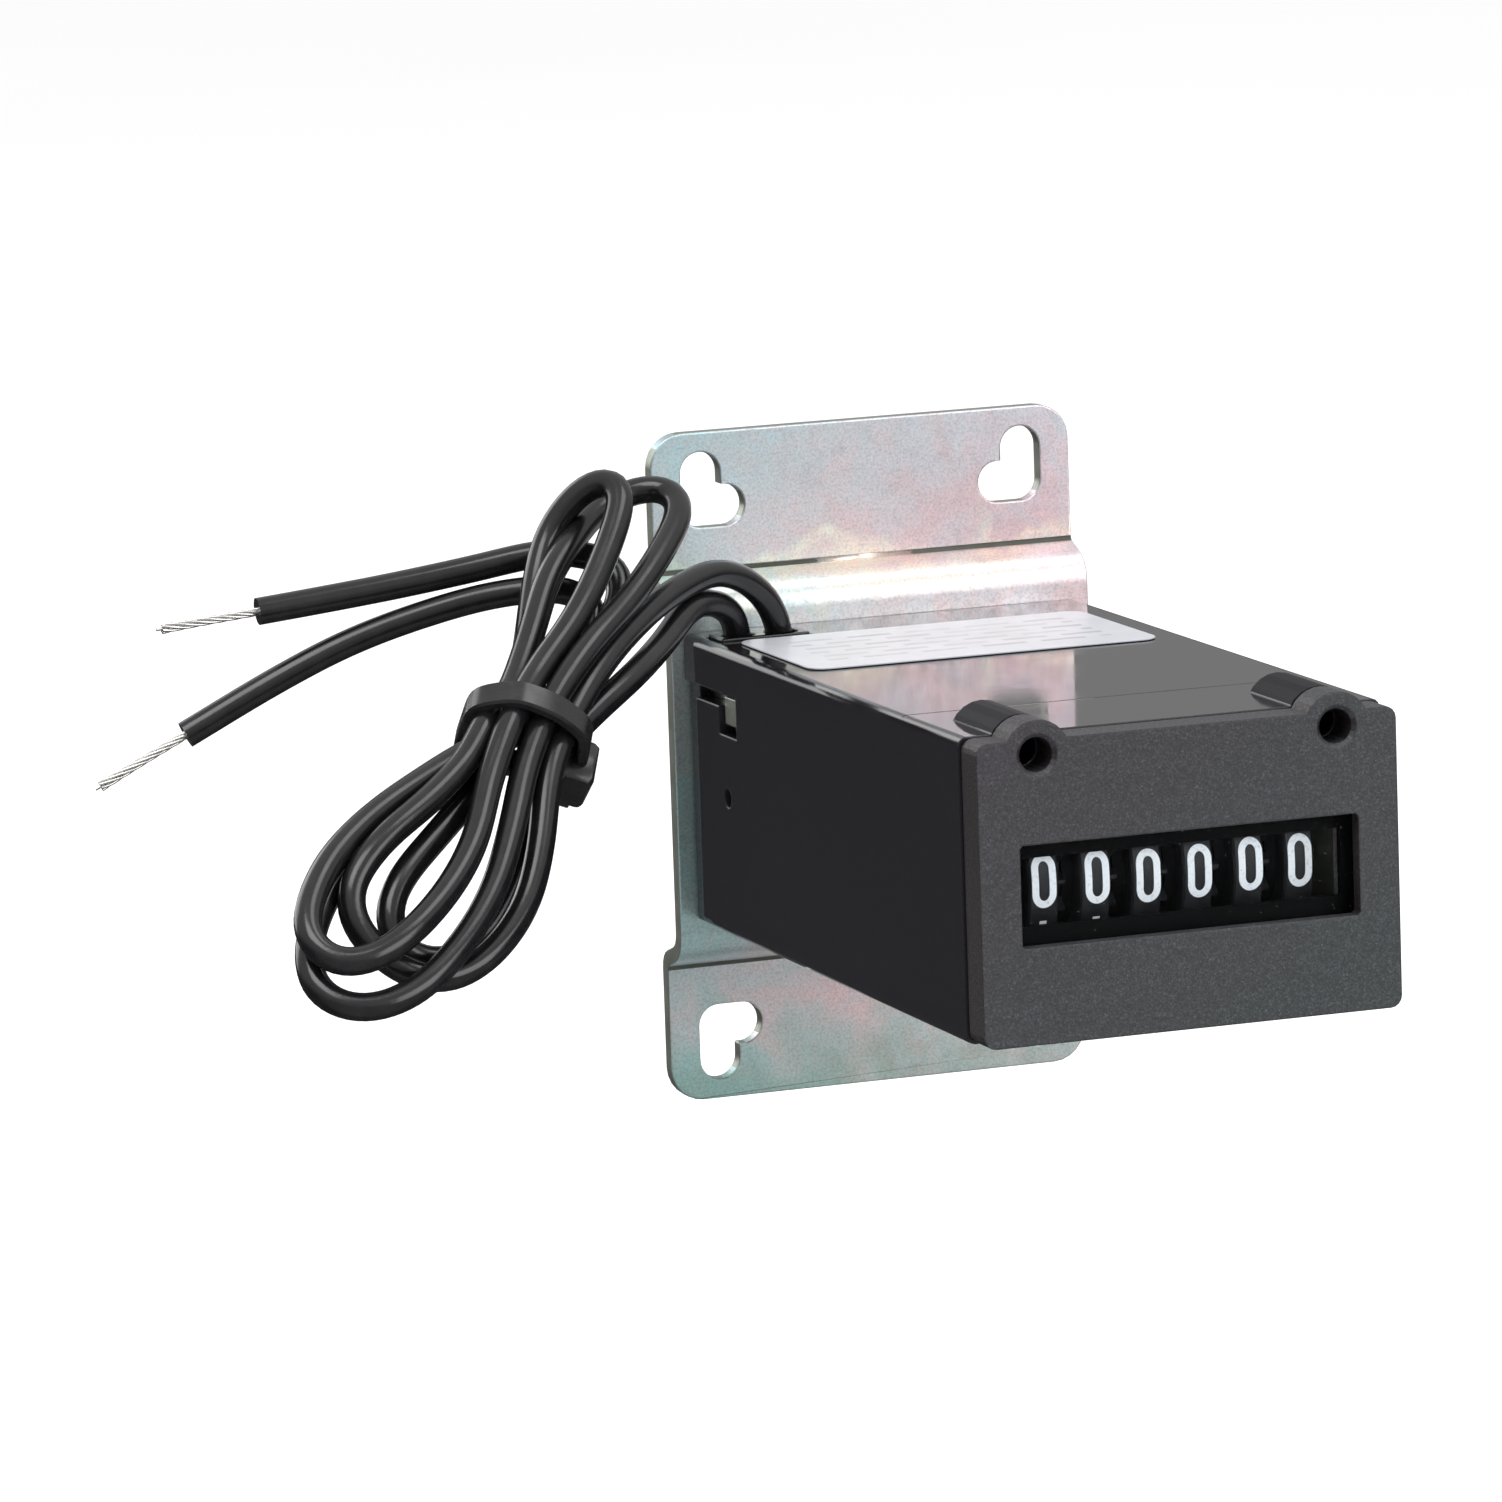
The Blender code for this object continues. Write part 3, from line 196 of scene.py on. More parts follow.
class Surface:
    """A node material with one Principled shader and short calls for the usual texture steps."""

    def __init__(self, name, roughness=0.5, metallic=0.0, color=(0.5, 0.5, 0.5), **sockets):
        self.mat = bpy.data.materials.new(name)
        self.mat.use_nodes = True
        self.nodes = self.mat.node_tree.nodes
        self.links = self.mat.node_tree.links
        self.shader = self.nodes["Principled BSDF"]
        self.set("Roughness", roughness)
        self.set("Metallic", metallic)
        self.set("Base Color", (*color, 1.0))
        for socket, value in sockets.items():
            self.set(socket.replace("_", " "), value)
        self.coords = self.nodes.new("ShaderNodeTexCoord")

    def set(self, socket, value):
        self.shader.inputs[socket].default_value = value

    def feed(self, socket, output):
        self.links.new(output, self.shader.inputs[socket])

    def stretch(self, scale):
        """Object coordinates with a scale of their own on each axis."""
        mapping = self.nodes.new("ShaderNodeMapping")
        mapping.inputs["Scale"].default_value = scale
        self.links.new(self.coords.outputs["Object"], mapping.inputs["Vector"])
        return mapping.outputs["Vector"]

    def noise(self, size, detail=3.0, vector=None, roughness=0.5, distortion=0.0):
        """Noise whose blobs are about the given size, in metres."""
        node = self.nodes.new("ShaderNodeTexNoise")
        node.inputs["Scale"].default_value = 1.0 / size
        node.inputs["Detail"].default_value = detail
        node.inputs["Roughness"].default_value = roughness
        node.inputs["Distortion"].default_value = distortion
        self.links.new(vector or self.coords.outputs["Object"], node.inputs["Vector"])
        return node.outputs["Fac"]

    def axis(self, index, source="Object"):
        """One component of the object coordinates, or of another texture coordinate."""
        node = self.nodes.new("ShaderNodeSeparateXYZ")
        self.links.new(self.coords.outputs[source], node.inputs["Vector"])
        return node.outputs[index]

    def math(self, operation, a, b=0.0):
        node = self.nodes.new("ShaderNodeMath")
        node.operation = operation
        for socket, value in zip(node.inputs, (a, b)):
            if isinstance(value, (int, float)):
                socket.default_value = value
            else:
                self.links.new(value, socket)
        return node.outputs["Value"]

    def share(self, index, start, end):
        """How far a point lies from one corner to another along an axis, from 0 to 1."""
        reach = self.math("SUBTRACT", self.axis(index), start[index])
        return self.math("DIVIDE", reach, end[index] - start[index])

    def facing(self, index, least):
        """1 where the surface faces along an axis, either way, and 0 elsewhere."""
        return self.math("GREATER_THAN", self.math("ABSOLUTE", self.axis(index, "Normal")), least)

    def ramp(self, factor, stops):
        """Colour ramp from (position, grey or RGB) stops."""
        node = self.nodes.new("ShaderNodeValToRGB")
        fill_ramp(node, stops)
        self.links.new(factor, node.inputs["Fac"])
        return node.outputs["Color"]

    def mix(self, factor, a, b, blend="MIX"):
        return add_mix(self.mat.node_tree, factor, a, b, blend)

    def layer(self, factor, under, over):
        """One shader over another, where the factor is 1."""
        node = self.nodes.new("ShaderNodeMixShader")
        for socket, output in zip(node.inputs, (factor, under, over)):
            self.links.new(output, socket)
        return node.outputs["Shader"]

    def soft_edges(self, radius):
        """Normals that round off sharp edges of the mesh."""
        node = self.nodes.new("ShaderNodeBevel")
        node.samples = 4
        node.inputs["Radius"].default_value = radius
        return node.outputs["Normal"]

    def bump(self, height, depth, strength=1.0, normal=None):
        """Bump of the given depth in metres, over another normal if there is one."""
        node = self.nodes.new("ShaderNodeBump")
        if normal:
            self.links.new(normal, node.inputs["Normal"])
        node.inputs["Strength"].default_value = strength
        node.inputs["Distance"].default_value = depth
        self.links.new(height, node.inputs["Height"])
        self.feed("Normal", node.outputs["Normal"])

    def vary_roughness(self, output, low, high):
        self.feed("Roughness", self.ramp(output, ((0.3, low), (0.7, high))))


# --- materials -------------------------------------------------------------------------------------
def zinc_plate():
    """Zinc with a thin passivation film, tinted in bands up the plate, and dull sheared edges."""
    s = Surface("zinc_plate", metallic=0.8)
    low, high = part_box("mounting_plate")
    bands_up = (
        (0.00, (0.42, 0.53, 0.50)), (0.08, (0.54, 0.62, 0.61)), (0.16, (0.78, 0.66, 0.68)),
        (0.24, (0.60, 0.65, 0.66)), (0.45, (0.56, 0.62, 0.62)), (0.62, (0.62, 0.55, 0.54)),
        (0.74, (0.62, 0.64, 0.66)), (0.79, (0.70, 0.68, 0.60)), (0.83, (0.58, 0.52, 0.54)),
        (1.00, (0.52, 0.57, 0.60)))
    tint_across = ((0.05, (0.76, 0.99, 0.99)), (0.45, (1.0, 1.0, 1.0)), (0.95, (1.12, 1.04, 1.07)))
    drift = s.math("MULTIPLY", s.math("SUBTRACT", s.noise(7 * MM, 2.0, distortion=0.6), 0.5), 0.26)
    film = s.ramp(s.math("ADD", s.share(2, low, high), drift), bands_up)
    tint = s.ramp(s.math("ADD", s.share(0, low, high), drift), tint_across)
    blush = s.ramp(s.noise(3.2 * MM, 3.0, distortion=1.0),
                   ((0.40, (1.0, 1.0, 1.0)), (0.62, (1.08, 0.96, 0.95))))
    speckle = s.ramp(s.noise(0.22 * MM, 2.0), ((0.30, 0.82), (0.5, 1.0), (0.72, 1.12)))
    for layer in (tint, blush, speckle):
        film = s.mix(1.0, film, layer, "MULTIPLY")
    sheared = s.math("MAXIMUM", s.facing(0, 0.8), s.facing(2, 0.985))
    s.feed("Base Color", s.mix(sheared, film, (0.27, 0.29, 0.25)))
    s.vary_roughness(s.noise(1.2 * MM, 4.0), 0.30, 0.46)
    s.bump(s.noise(0.12 * MM, 3.0), 0.012 * MM, 0.6)
    return s.mat


def gloss_housing():
    """High-gloss moulding with faint sink, dust and smudges; the bosses on its roof are duller."""
    black = (0.013, 0.012, 0.015)
    shine, boss_shine = 0.5, 0.08
    boss_roughness = (0.45, 0.45, 0.45)
    s = Surface("gloss_housing", color=black, IOR=1.42)
    dust = s.ramp(s.noise(0.35 * MM, 2.0), ((0.70, black), (0.80, (0.03, 0.03, 0.032))))
    s.feed("Base Color", dust)
    boss = s.math("GREATER_THAN", s.axis(2), ROOF_Z + 0.1 * MM)
    smudge = s.ramp(s.noise(6 * MM, 4.0, distortion=0.5), ((0.3, 0.04), (0.7, 0.12)))
    s.feed("Roughness", s.mix(boss, smudge, boss_roughness))
    loss = s.math("MULTIPLY", boss, shine - boss_shine)
    s.feed("Specular IOR Level", s.math("SUBTRACT", shine, loss))
    s.bump(s.noise(9 * MM, 2.0), 0.02 * MM, 0.5, s.soft_edges(EDGE_ROUND))
    return s.mat


def textured_bezel():
    """Spark-eroded charcoal moulding with fine pits and bright specks, greener at lower right; painted
    shade darkens its sides.
    """
    s = Surface("textured_bezel")
    low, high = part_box("front_bezel")
    right, down = s.share(0, low, high), s.share(2, high, low)
    corner = s.math("MULTIPLY", s.math("ADD", right, down), 0.5)
    ground = s.ramp(corner, ((0.0, (0.026, 0.023, 0.029)), (1.0, (0.026, 0.032, 0.034))))
    # painted shade: the faces that look sideways get a darker colour
    ground = s.mix(s.facing(0, 0.7), ground, (0.016, 0.012, 0.014))
    pits = s.noise(0.16 * MM, 3.0, roughness=0.6)
    grain = s.ramp(pits, ((0.30, 0.62), (0.5, 1.0), (0.62, 1.5), (0.72, 3.0)))
    s.feed("Base Color", s.mix(1.0, ground, grain, "MULTIPLY"))
    s.vary_roughness(s.noise(0.3 * MM, 2.0), 0.42, 0.62)
    s.bump(s.noise(0.2 * MM, 3.0), 0.035 * MM, 0.8, s.soft_edges(EDGE_ROUND))
    return s.mat


def moulded(name, color, rough, grain, depth, spot=1.25, shine=0.5):
    """A plain moulding with cloudy colour, uneven gloss and a fine skin."""
    s = Surface(name, color=color, Specular_IOR_Level=shine)
    dim = tuple(c * 0.85 for c in color)
    pale = tuple(min(1.0, c * spot) for c in color)
    s.feed("Base Color", s.ramp(s.noise(grain * 6, 4.0), ((0.35, dim), (0.65, pale))))
    s.vary_roughness(s.noise(grain * 3, 3.0), rough - 0.06, rough + 0.08)
    s.bump(s.noise(grain, 3.0), depth, 0.6)
    return s.mat


def worked_metal(name, color, rough, scale, depth=0.006 * MM):
    """Metal with marks drawn out along one axis, as turning, rolling or drawing leaves them."""
    s = Surface(name, metallic=1.0, color=color)
    marks = s.noise(1.0, 4.0, vector=s.stretch(scale))
    dim = tuple(c * 0.78 for c in color)
    s.feed("Base Color", s.ramp(marks, ((0.3, dim), (0.7, color))))
    s.vary_roughness(marks, rough - 0.08, rough + 0.08)
    s.bump(marks, depth, 0.5)
    return s.mat


def black_pvc():
    """Glossy insulation with a faint cloudy bloom."""
    s = Surface("black_pvc", color=(0.007, 0.007, 0.008), Specular_IOR_Level=0.5)
    tones = ((0.35, (0.006, 0.006, 0.007)), (0.70, (0.010, 0.010, 0.011)))
    s.feed("Base Color", s.ramp(s.noise(1.4 * MM, 4.0), tones))
    s.vary_roughness(s.noise(2.2 * MM, 4.0), 0.16, 0.24)
    s.bump(s.noise(0.5 * MM, 3.0), 0.010 * MM, 0.5)
    return s.mat


def copper_wire():
    """Fine enamelled wire in close turns round the coil's axis, with painted shade in the grooves
    between turns.
    """
    s = Surface("copper_wire", metallic=0.85, color=(0.60, 0.26, 0.10),
                Coat_Weight=0.6, Coat_Roughness=0.1)
    turns = s.nodes.new("ShaderNodeTexWave")
    turns.bands_direction = "Y"
    turns.inputs["Scale"].default_value = 1.0 / (0.8 * MM)
    turns.inputs["Distortion"].default_value = 0.6
    s.links.new(s.coords.outputs["Object"], turns.inputs["Vector"])
    # painted shade: the colour darkens in the grooves between the turns, where the bump is low
    tone = s.ramp(turns.outputs["Fac"], ((0.0, (0.22, 0.07, 0.03)), (0.6, (0.62, 0.27, 0.10))))
    s.feed("Base Color", tone)
    s.vary_roughness(s.noise(2 * MM), 0.25, 0.4)
    s.bump(turns.outputs["Fac"], 0.05 * MM, 0.7)
    return s.mat


def white_label():
    """Satin film with plain grey bars in rows, and clear margins."""
    paper = (0.68, 0.70, 0.75)
    margin = 3.0 * MM
    s = Surface("white_label", color=(0.80, 0.82, 0.86), Coat_Weight=0.2, Coat_Roughness=0.25)
    rows = s.nodes.new("ShaderNodeTexBrick")
    bars = {"Color1": (0.45, 0.46, 0.48, 1.0), "Color2": (0.60, 0.61, 0.64, 1.0),
            "Mortar": (*paper, 1.0), "Scale": 1.0 / (5.0 * MM), "Brick Width": 1.1,
            "Row Height": 0.44, "Mortar Size": 0.14, "Mortar Smooth": 0.0}
    for socket, value in bars.items():
        rows.inputs[socket].default_value = value
    s.links.new(s.coords.outputs["Object"], rows.inputs["Vector"])
    low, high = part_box("rating_label")
    middle = (low + high) / 2
    clear = []
    for index in (0, 1):
        reach = s.math("ABSOLUTE", s.math("SUBTRACT", s.axis(index), middle[index]))
        clear.append(s.math("GREATER_THAN", reach, (high[index] - low[index]) / 2 - margin))
    film = s.mix(s.math("MAXIMUM", *clear), rows.outputs["Color"], paper)
    shade = s.ramp(s.noise(4 * MM, 3.0), ((0.3, 0.78), (0.7, 0.84)))
    s.feed("Base Color", s.mix(1.0, film, shade, "MULTIPLY"))
    s.vary_roughness(s.noise(1.5 * MM, 3.0), 0.34, 0.46)
    s.bump(s.noise(0.4 * MM, 3.0), 0.006 * MM, 0.5)
    return s.mat


def white_ink():
    """Printing ink, a little patchy, with a faint painted glow so that it reads behind the lens."""
    ink_and_glow_color = (0.84, 0.86, 0.90)
    s = Surface("white_ink", color=(0.80, 0.82, 0.86))
    s.feed("Base Color", s.ramp(s.noise(0.35 * MM, 3.0), ((0.28, (0.62, 0.64, 0.68)), (0.45, ink_and_glow_color))))
    # painted glow: the ink gives off a little light of its own, in its own colour
    s.set("Emission Color", (*ink_and_glow_color, 1.0))
    s.set("Emission Strength", 0.12)
    s.vary_roughness(s.noise(0.5 * MM), 0.42, 0.6)
    s.bump(s.noise(0.08 * MM, 2.0), 0.008 * MM, 0.6)
    return s.mat


def clear_lens():
    """Thin clear window: a faint mirror over what is behind it, with a few specks of dust."""
    s = Surface("clear_lens", roughness=0.7, color=(0.62, 0.63, 0.66))
    clear = s.nodes.new("ShaderNodeBsdfTransparent")
    clear.inputs["Color"].default_value = (0.95, 0.965, 0.97, 1.0)
    gloss = s.nodes.new("ShaderNodeBsdfGlossy")
    gloss.inputs["Roughness"].default_value = 0.02
    mirror = s.nodes.new("ShaderNodeFresnel")
    mirror.inputs["IOR"].default_value = 1.12
    specks = s.ramp(s.noise(0.22 * MM, 1.0), ((0.765, 0.0), (0.80, 0.35)))
    glass = s.layer(mirror.outputs["Fac"], clear.outputs["BSDF"], gloss.outputs["BSDF"])
    dusty = s.layer(specks, glass, s.shader.outputs["BSDF"])
    s.links.new(dusty, s.nodes["Material Output"].inputs["Surface"])
    return s.mat


def pale_floor():
    """Near-white, and lit a little from within, so that it runs into the background."""
    s = Surface("pale_floor", roughness=0.9, color=(0.92, 0.92, 0.92))
    s.feed("Base Color", s.ramp(s.noise(0.4, 2.0), ((0.3, 0.91), (0.7, 0.93))))
    s.set("Emission Color", (1.0, 1.0, 1.0, 1.0))
    s.set("Emission Strength", 0.25)
    return s.mat


def make_materials():
    """One material for each material slot in the record."""
    # Colour, roughness, size of grain, depth of grain, brightness of the pale spots, shine.
    plain = {
        "matte_mask": ((0.002, 0.002, 0.0025), 0.75, 0.15 * MM, 0.01 * MM, 1.25, 0.12),
        "wheel_grey": ((0.020, 0.020, 0.023), 0.42, 0.25 * MM, 0.012 * MM, 1.25, 0.3),
        "natural_nylon": ((0.66, 0.63, 0.54), 0.42, 0.4 * MM, 0.01 * MM, 1.1, 0.5),
        "black_nylon": ((0.011, 0.011, 0.012), 0.24, 0.5 * MM, 0.008 * MM, 1.25, 0.5),
    }
    # Colour, roughness, and how closely the marks follow each other along each axis.
    metals = {
        "bright_steel": ((0.62, 0.62, 0.64), 0.26, (9000, 900, 900)),
        "soft_iron": ((0.42, 0.42, 0.44), 0.42, (2200, 500, 2200)),
        "tinned_brass": ((0.76, 0.72, 0.60), 0.3, (3000, 3000, 600)),
        "tinned_strand": ((0.82, 0.81, 0.78), 0.26, (1500, 6000, 6000)),
    }
    mats = {make.__name__: make() for make in (zinc_plate, gloss_housing, textured_bezel, clear_lens,
                                               white_label, copper_wire, black_pvc, white_ink)}
    mats.update((name, moulded(name, *values)) for name, values in plain.items())
    mats.update((name, worked_metal(name, *values)) for name, values in metals.items())
    return mats


# --- mesh helpers ----------------------------------------------------------------------------------
def add_piece(name, mesh, mat, body, nodes=()):
    """A drawn piece that rides a body; it may have a material slot and stand for CAD nodes."""
    obj = bpy.data.objects.new(name, mesh)
    bpy.context.scene.collection.objects.link(obj)
    mesh.materials.append(mat)
    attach(obj, body)
    if nodes:
        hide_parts(*nodes)
    return obj


def to_mesh(name, bm, smooth_angle=None):
    """A mesh from a BMesh; an angle in degrees makes it smooth apart from sharper edges."""
    bmesh.ops.recalc_face_normals(bm, faces=bm.faces)
    mesh = bpy.data.meshes.new(name)
    bm.to_mesh(mesh)
    bm.free()
    if smooth_angle:
        mesh.shade_smooth()
        mesh.set_sharp_from_angle(angle=math.radians(smooth_angle))
    return mesh


def rounded_copy(frame, node, name, mat, width):
    """A copy of a CAD node with its corners rounded, apart from edges too short for the width."""
    corner = math.radians(28)
    flat = math.radians(0.5)
    shortest = 2.2 * width
    bm = bmesh.new()
    bm.from_mesh(frame["nodes"][node].data)
    bmesh.ops.remove_doubles(bm, verts=bm.verts, dist=1e-7)
    bmesh.ops.dissolve_limit(bm, angle_limit=flat, verts=bm.verts, edges=bm.edges)
    weight = bm.edges.layers.float.new("bevel_weight_edge")
    for face in bm.faces:
        face.smooth = True
    for edge in bm.edges:
        sharp = len(edge.link_faces) == 2 and edge.calc_face_angle() > corner
        if sharp and edge.calc_length() >= shortest:
            edge[weight] = 1.0
        elif sharp:
            edge.smooth = False
    mesh = bpy.data.meshes.new(name)
    bm.to_mesh(mesh)
    bm.free()
    obj = add_piece(name, mesh, mat, frame["nodes"][node]["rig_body"], (node,))
    bevel = obj.modifiers.new("edges", "BEVEL")
    bevel.width = width
    bevel.segments = 3
    bevel.limit_method = "WEIGHT"
    bevel.use_clamp_overlap = False
    normals = obj.modifiers.new("normals", "WEIGHTED_NORMAL")
    normals.keep_sharp = False
    normals.weight = 100


def catmull(a, b, c, d, t):
    """Centripetal Catmull-Rom between b and c."""
    times = [0.0]
    for p, q in ((a, b), (b, c), (c, d)):
        times.append(times[-1] + math.sqrt((q - p).length))
    t0, t1, t2, t3 = times
    now = t1 + t * (t2 - t1)
    ab = a.lerp(b, (now - t0) / (t1 - t0))
    bc = b.lerp(c, (now - t1) / (t2 - t1))
    cd = c.lerp(d, (now - t2) / (t3 - t2))
    left = ab.lerp(bc, (now - t0) / (t2 - t0))
    right = bc.lerp(cd, (now - t1) / (t3 - t1))
    return left.lerp(right, (now - t1) / (t2 - t1))


def smooth_route(points, step):
    """Points about one step apart on a smooth curve through the route."""
    route = [2 * points[0] - points[1]] + list(points) + [2 * points[-1] - points[-2]]
    curve = []
    for i in range(1, len(route) - 2):
        a, b, c, d = route[i - 1:i + 3]
        count = max(1, round((c - b).length / step))
        curve += [catmull(a, b, c, d, j / count) for j in range(count)]
    curve.append(route[-2])
    return curve


def eased(line, passes):
    """The same line with its kinks worn down; its ends stay where they are."""
    for _ in range(passes):
        inner = [(a + b * 2 + c) / 4 for a, b, c in zip(line, line[1:], line[2:])]
        line = line[:1] + inner + line[-1:]
    return line


def tube(name, paths, radius, mat, resolution=5):
    """A curve object with one round wire along each path."""
    curve = bpy.data.curves.new(name, "CURVE")
    curve.dimensions = "3D"
    curve.bevel_depth = radius
    curve.bevel_resolution = resolution
    curve.use_fill_caps = True
    for points in paths:
        spline = curve.splines.new("POLY")
        spline.points.add(len(points) - 1)
        for slot, p in zip(spline.points, points):
            slot.co = (*p, 1.0)
        spline.use_smooth = True
    curve.materials.append(mat)
    obj = bpy.data.objects.new(name, curve)
    bpy.context.scene.collection.objects.link(obj)
    return obj


# --- casing ----------------------------------------------------------------------------------------
def make_casing(frame, mats):
    """The sheet and moulded pieces whose cut edges are round; the housing and bezel show as CAD."""
    pieces = (("mounting_plate", "plate_sheet", "zinc_plate", 0.16 * MM),
              ("rating_label", "label_film", "white_label", 0.04 * MM),
              ("lead_grommet", "grommet_moulding", "black_nylon", 0.15 * MM))
    for node, name, slot_name, width in pieces:
        rounded_copy(frame, node, name, mats[slot_name], width)


# --- number wheels ---------------------------------------------------------------------------------
def figure_strokes(digit):
    """Centre lines of a figure, as lists of (right, up) in a cell from -1 to 1 each way."""
    def turn(cx, cy, rx, ry, start, end, steps=14):
        angles = [math.radians(start + (end - start) * i / steps) for i in range(steps + 1)]
        return [(cx + rx * math.cos(angle), cy + ry * math.sin(angle)) for angle in angles]

    shoulder = DIGIT_W / DIGIT_H   # height of a round end that is as wide as the figure
    if digit == 0:
        top = turn(0, 1 - shoulder, 1, shoulder, 0, 180)
        return [top + turn(0, shoulder - 1, 1, shoulder, 180, 360) + top[:1]]
    if digit == 1:
        return [[(0.0, 1.0), (0.0, -1.0)]]
    if digit == 2:
        return [turn(0, 1 - shoulder, 1, shoulder, 170, -20) + [(-1.0, -1.0), (1.0, -1.0)]]
    if digit == 3:
        return [turn(0, 0.5, 0.95, 0.5, 160, -90) + turn(0, -0.5, 1, 0.5, 90, -160)]
    if digit == 4:
        return [[(0.45, -1.0), (0.45, 1.0), (-1.0, -0.45), (1.0, -0.45)]]
    if digit == 5:
        return [[(0.9, 1.0), (-0.85, 1.0), (-0.95, 0.1)] + turn(0, -0.42, 1, 0.58, 125, -150)]
    if digit == 6:
        return [[(0.55, 1.0), (-0.55, 0.25)] + turn(0, -0.45, 1, 0.55, 160, 520, 24)]
    if digit == 7:
        return [[(-1.0, 1.0), (1.0, 1.0), (-0.35, -1.0)]]
    if digit == 8:
        return [turn(0, 0.5, 0.85, 0.5, 270, -90, 22), turn(0, -0.48, 1, 0.52, 90, 450, 22)]
    return [[(-0.55, -1.0), (0.55, -0.25)] + turn(0, 0.45, 1, 0.55, -20, 340, 24)]


def divided(line, step):
    """The same line with points at most one step apart, so that it can wrap round the rim."""
    points = []
    for a, b in zip(line, line[1:]):
        count = max(1, math.ceil((b - a).length / step))
        points += [a.lerp(b, i / count) for i in range(count)]
    return points + [line[-1]]


def ribbon_edges(line, half):
    """Pairs of points on both sides of a line, with square ends, or joined up if the line is closed."""
    closed = (line[0] - line[-1]).length < 1e-6
    sharpest = 0.45              # keeps the mitre of a tight corner short
    pairs = []
    for i, p in enumerate(line):
        before = line[i - 1] if i else (line[-2] if closed else p)
        after = line[i + 1] if i + 1 < len(line) else (line[1] if closed else p)
        way_in = (p - before).normalized() if p != before else (after - p).normalized()
        way_out = (after - p).normalized() if p != after else way_in
        way = (way_in + way_out).normalized()
        square = Vector((-way.y, way.x))
        stretch = half / max(sharpest, way.dot(way_out))
        low_cap = -way_in * half if p == before else Vector((0, 0))
        high_cap = way_out * half if p == after else Vector((0, 0))
        p = p + low_cap + high_cap
        pairs.append((p + square * stretch, p - square * stretch))
    return pairs


def add_figure(bm, digit, middle_x, turn, centre, radius):
    """Raised ribbons round the rim for one figure; turn is its angle up from the front."""
    half = STROKE / 2
    wide, tall = DIGIT_W / 2 - half, DIGIT_H / 2 - half

    def on_rim(pairs, level):
        rows = []
        for pair in pairs:
            row = []
            for q in pair:
                angle = turn + q.y / radius
                reach = radius + level
                row.append(bm.verts.new((middle_x + q.x, centre.y - reach * math.cos(angle),
                                         centre.z + reach * math.sin(angle))))
            rows.append(row)
        return rows

    for lift, stroke in enumerate(figure_strokes(digit)):
        line = divided([Vector((u * wide, v * tall)) for u, v in stroke], WRAP_STEP)
        pairs = ribbon_edges(line, half)
        ground = on_rim(pairs, 0.0)
        top = on_rim(pairs, INK * (1 + 0.1 * lift))
        for i in range(len(pairs) - 1):
            bm.faces.new((top[i][0], top[i + 1][0], top[i + 1][1], top[i][1]))
            for side in (0, 1):
                bm.faces.new((ground[i][side], ground[i + 1][side], top[i + 1][side], top[i][side]))


def add_ring(bm, profile, centre, sides):
    """Turn a closed (x, radius) profile about the wheel's axis."""
    rings = []
    for i in range(sides):
        angle = 2 * math.pi * i / sides
        rings.append([bm.verts.new((x, centre.y + r * math.cos(angle), centre.z + r * math.sin(angle)))
                      for x, r in profile])
    for i in range(sides):
        here, there = rings[i], rings[(i + 1) % sides]
        for j in range(len(profile)):
            k = (j + 1) % len(profile)
            bm.faces.new((here[j], here[k], there[k], there[j]))


def add_gear(bm, x0, x1, centre, bore):
    """A spur gear with rounded teeth and broken edges, as a closed ring of its own."""
    count = GEAR_TEETH * len(TOOTH_SHAPE)
    outline = [GEAR_ROOT_R + (GEAR_TIP_R - GEAR_ROOT_R) * share for share in TOOTH_SHAPE * GEAR_TEETH]
    broken, width = 0.12 * MM, 0.1 * MM

    def circle(x, radii):
        verts = []
        for i, r in enumerate(radii):
            angle = 2 * math.pi * (i - TOOTH_MIDDLE) / count
            y, z = centre.y + r * math.cos(angle), centre.z + r * math.sin(angle)
            verts.append(bm.verts.new((x, y, z)))
        return verts

    rings = [circle(x, [r - inset for r in outline])
             for x, inset in ((x0, broken), (x0 + width, 0.0), (x1 - width, 0.0), (x1, broken))]
    rings += [circle(x, [bore] * count) for x in (x1, x0)]
    for k, ring in enumerate(rings):
        after = rings[(k + 1) % len(rings)]
        for i in range(count):
            j = (i + 1) % count
            bm.faces.new((ring[i], ring[j], after[j], after[i]))


def make_wheel(frame, mats, index):
    """One number wheel, counted from the units wheel, and its ten figures."""
    node = f"number_wheel_{index + 1}"
    body = frame["nodes"][node]["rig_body"]
    low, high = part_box(node)
    centre = (low + high) / 2
    radius = (high.z - low.z) / 2
    right = high.x - (GEAR_REACH if index else 0.0)
    left = right - 2 * RIM_HALF
    web_left, web_right = left + WEB_INSET, right - WEB_INSET
    side, foot = radius - RIM_SIDE, radius - RIM_FOOT
    bm = bmesh.new()
    drum = [(left, radius - RIM_EDGE), (left + RIM_EDGE, radius), (right - RIM_EDGE, radius),
            (right, radius - RIM_EDGE), (right, side), (web_right, foot), (web_right, BORE_R),
            (web_left, BORE_R), (web_left, foot), (left, side)]
    add_ring(bm, drum, centre, 144)
    if index + 1 < DIGITS:
        start, end = left - LOCK_REACH, web_left + OVERLAP
        add_ring(bm, [(start, LOCK_R), (end, LOCK_R), (end, BORE_R), (start, BORE_R)], centre, 72)
    if index:
        add_gear(bm, web_right - OVERLAP, high.x, centre, BORE_R)
    name = f"number_drum_{index + 1}"
    add_piece(name, to_mesh(name, bm, 35), mats["wheel_grey"], body, (node,))
    figures = bmesh.new()
    first = FIGURE_UP[index] / radius
    middle = (left + right) / 2 + FIGURE_RIGHT[index]
    for digit in range(10):
        add_figure(figures, digit, middle, first - 2 * math.pi * digit / 10, centre, radius)
    name = f"figures_{index + 1}"
    add_piece(name, to_mesh(name, figures, 40), mats["white_ink"], body)


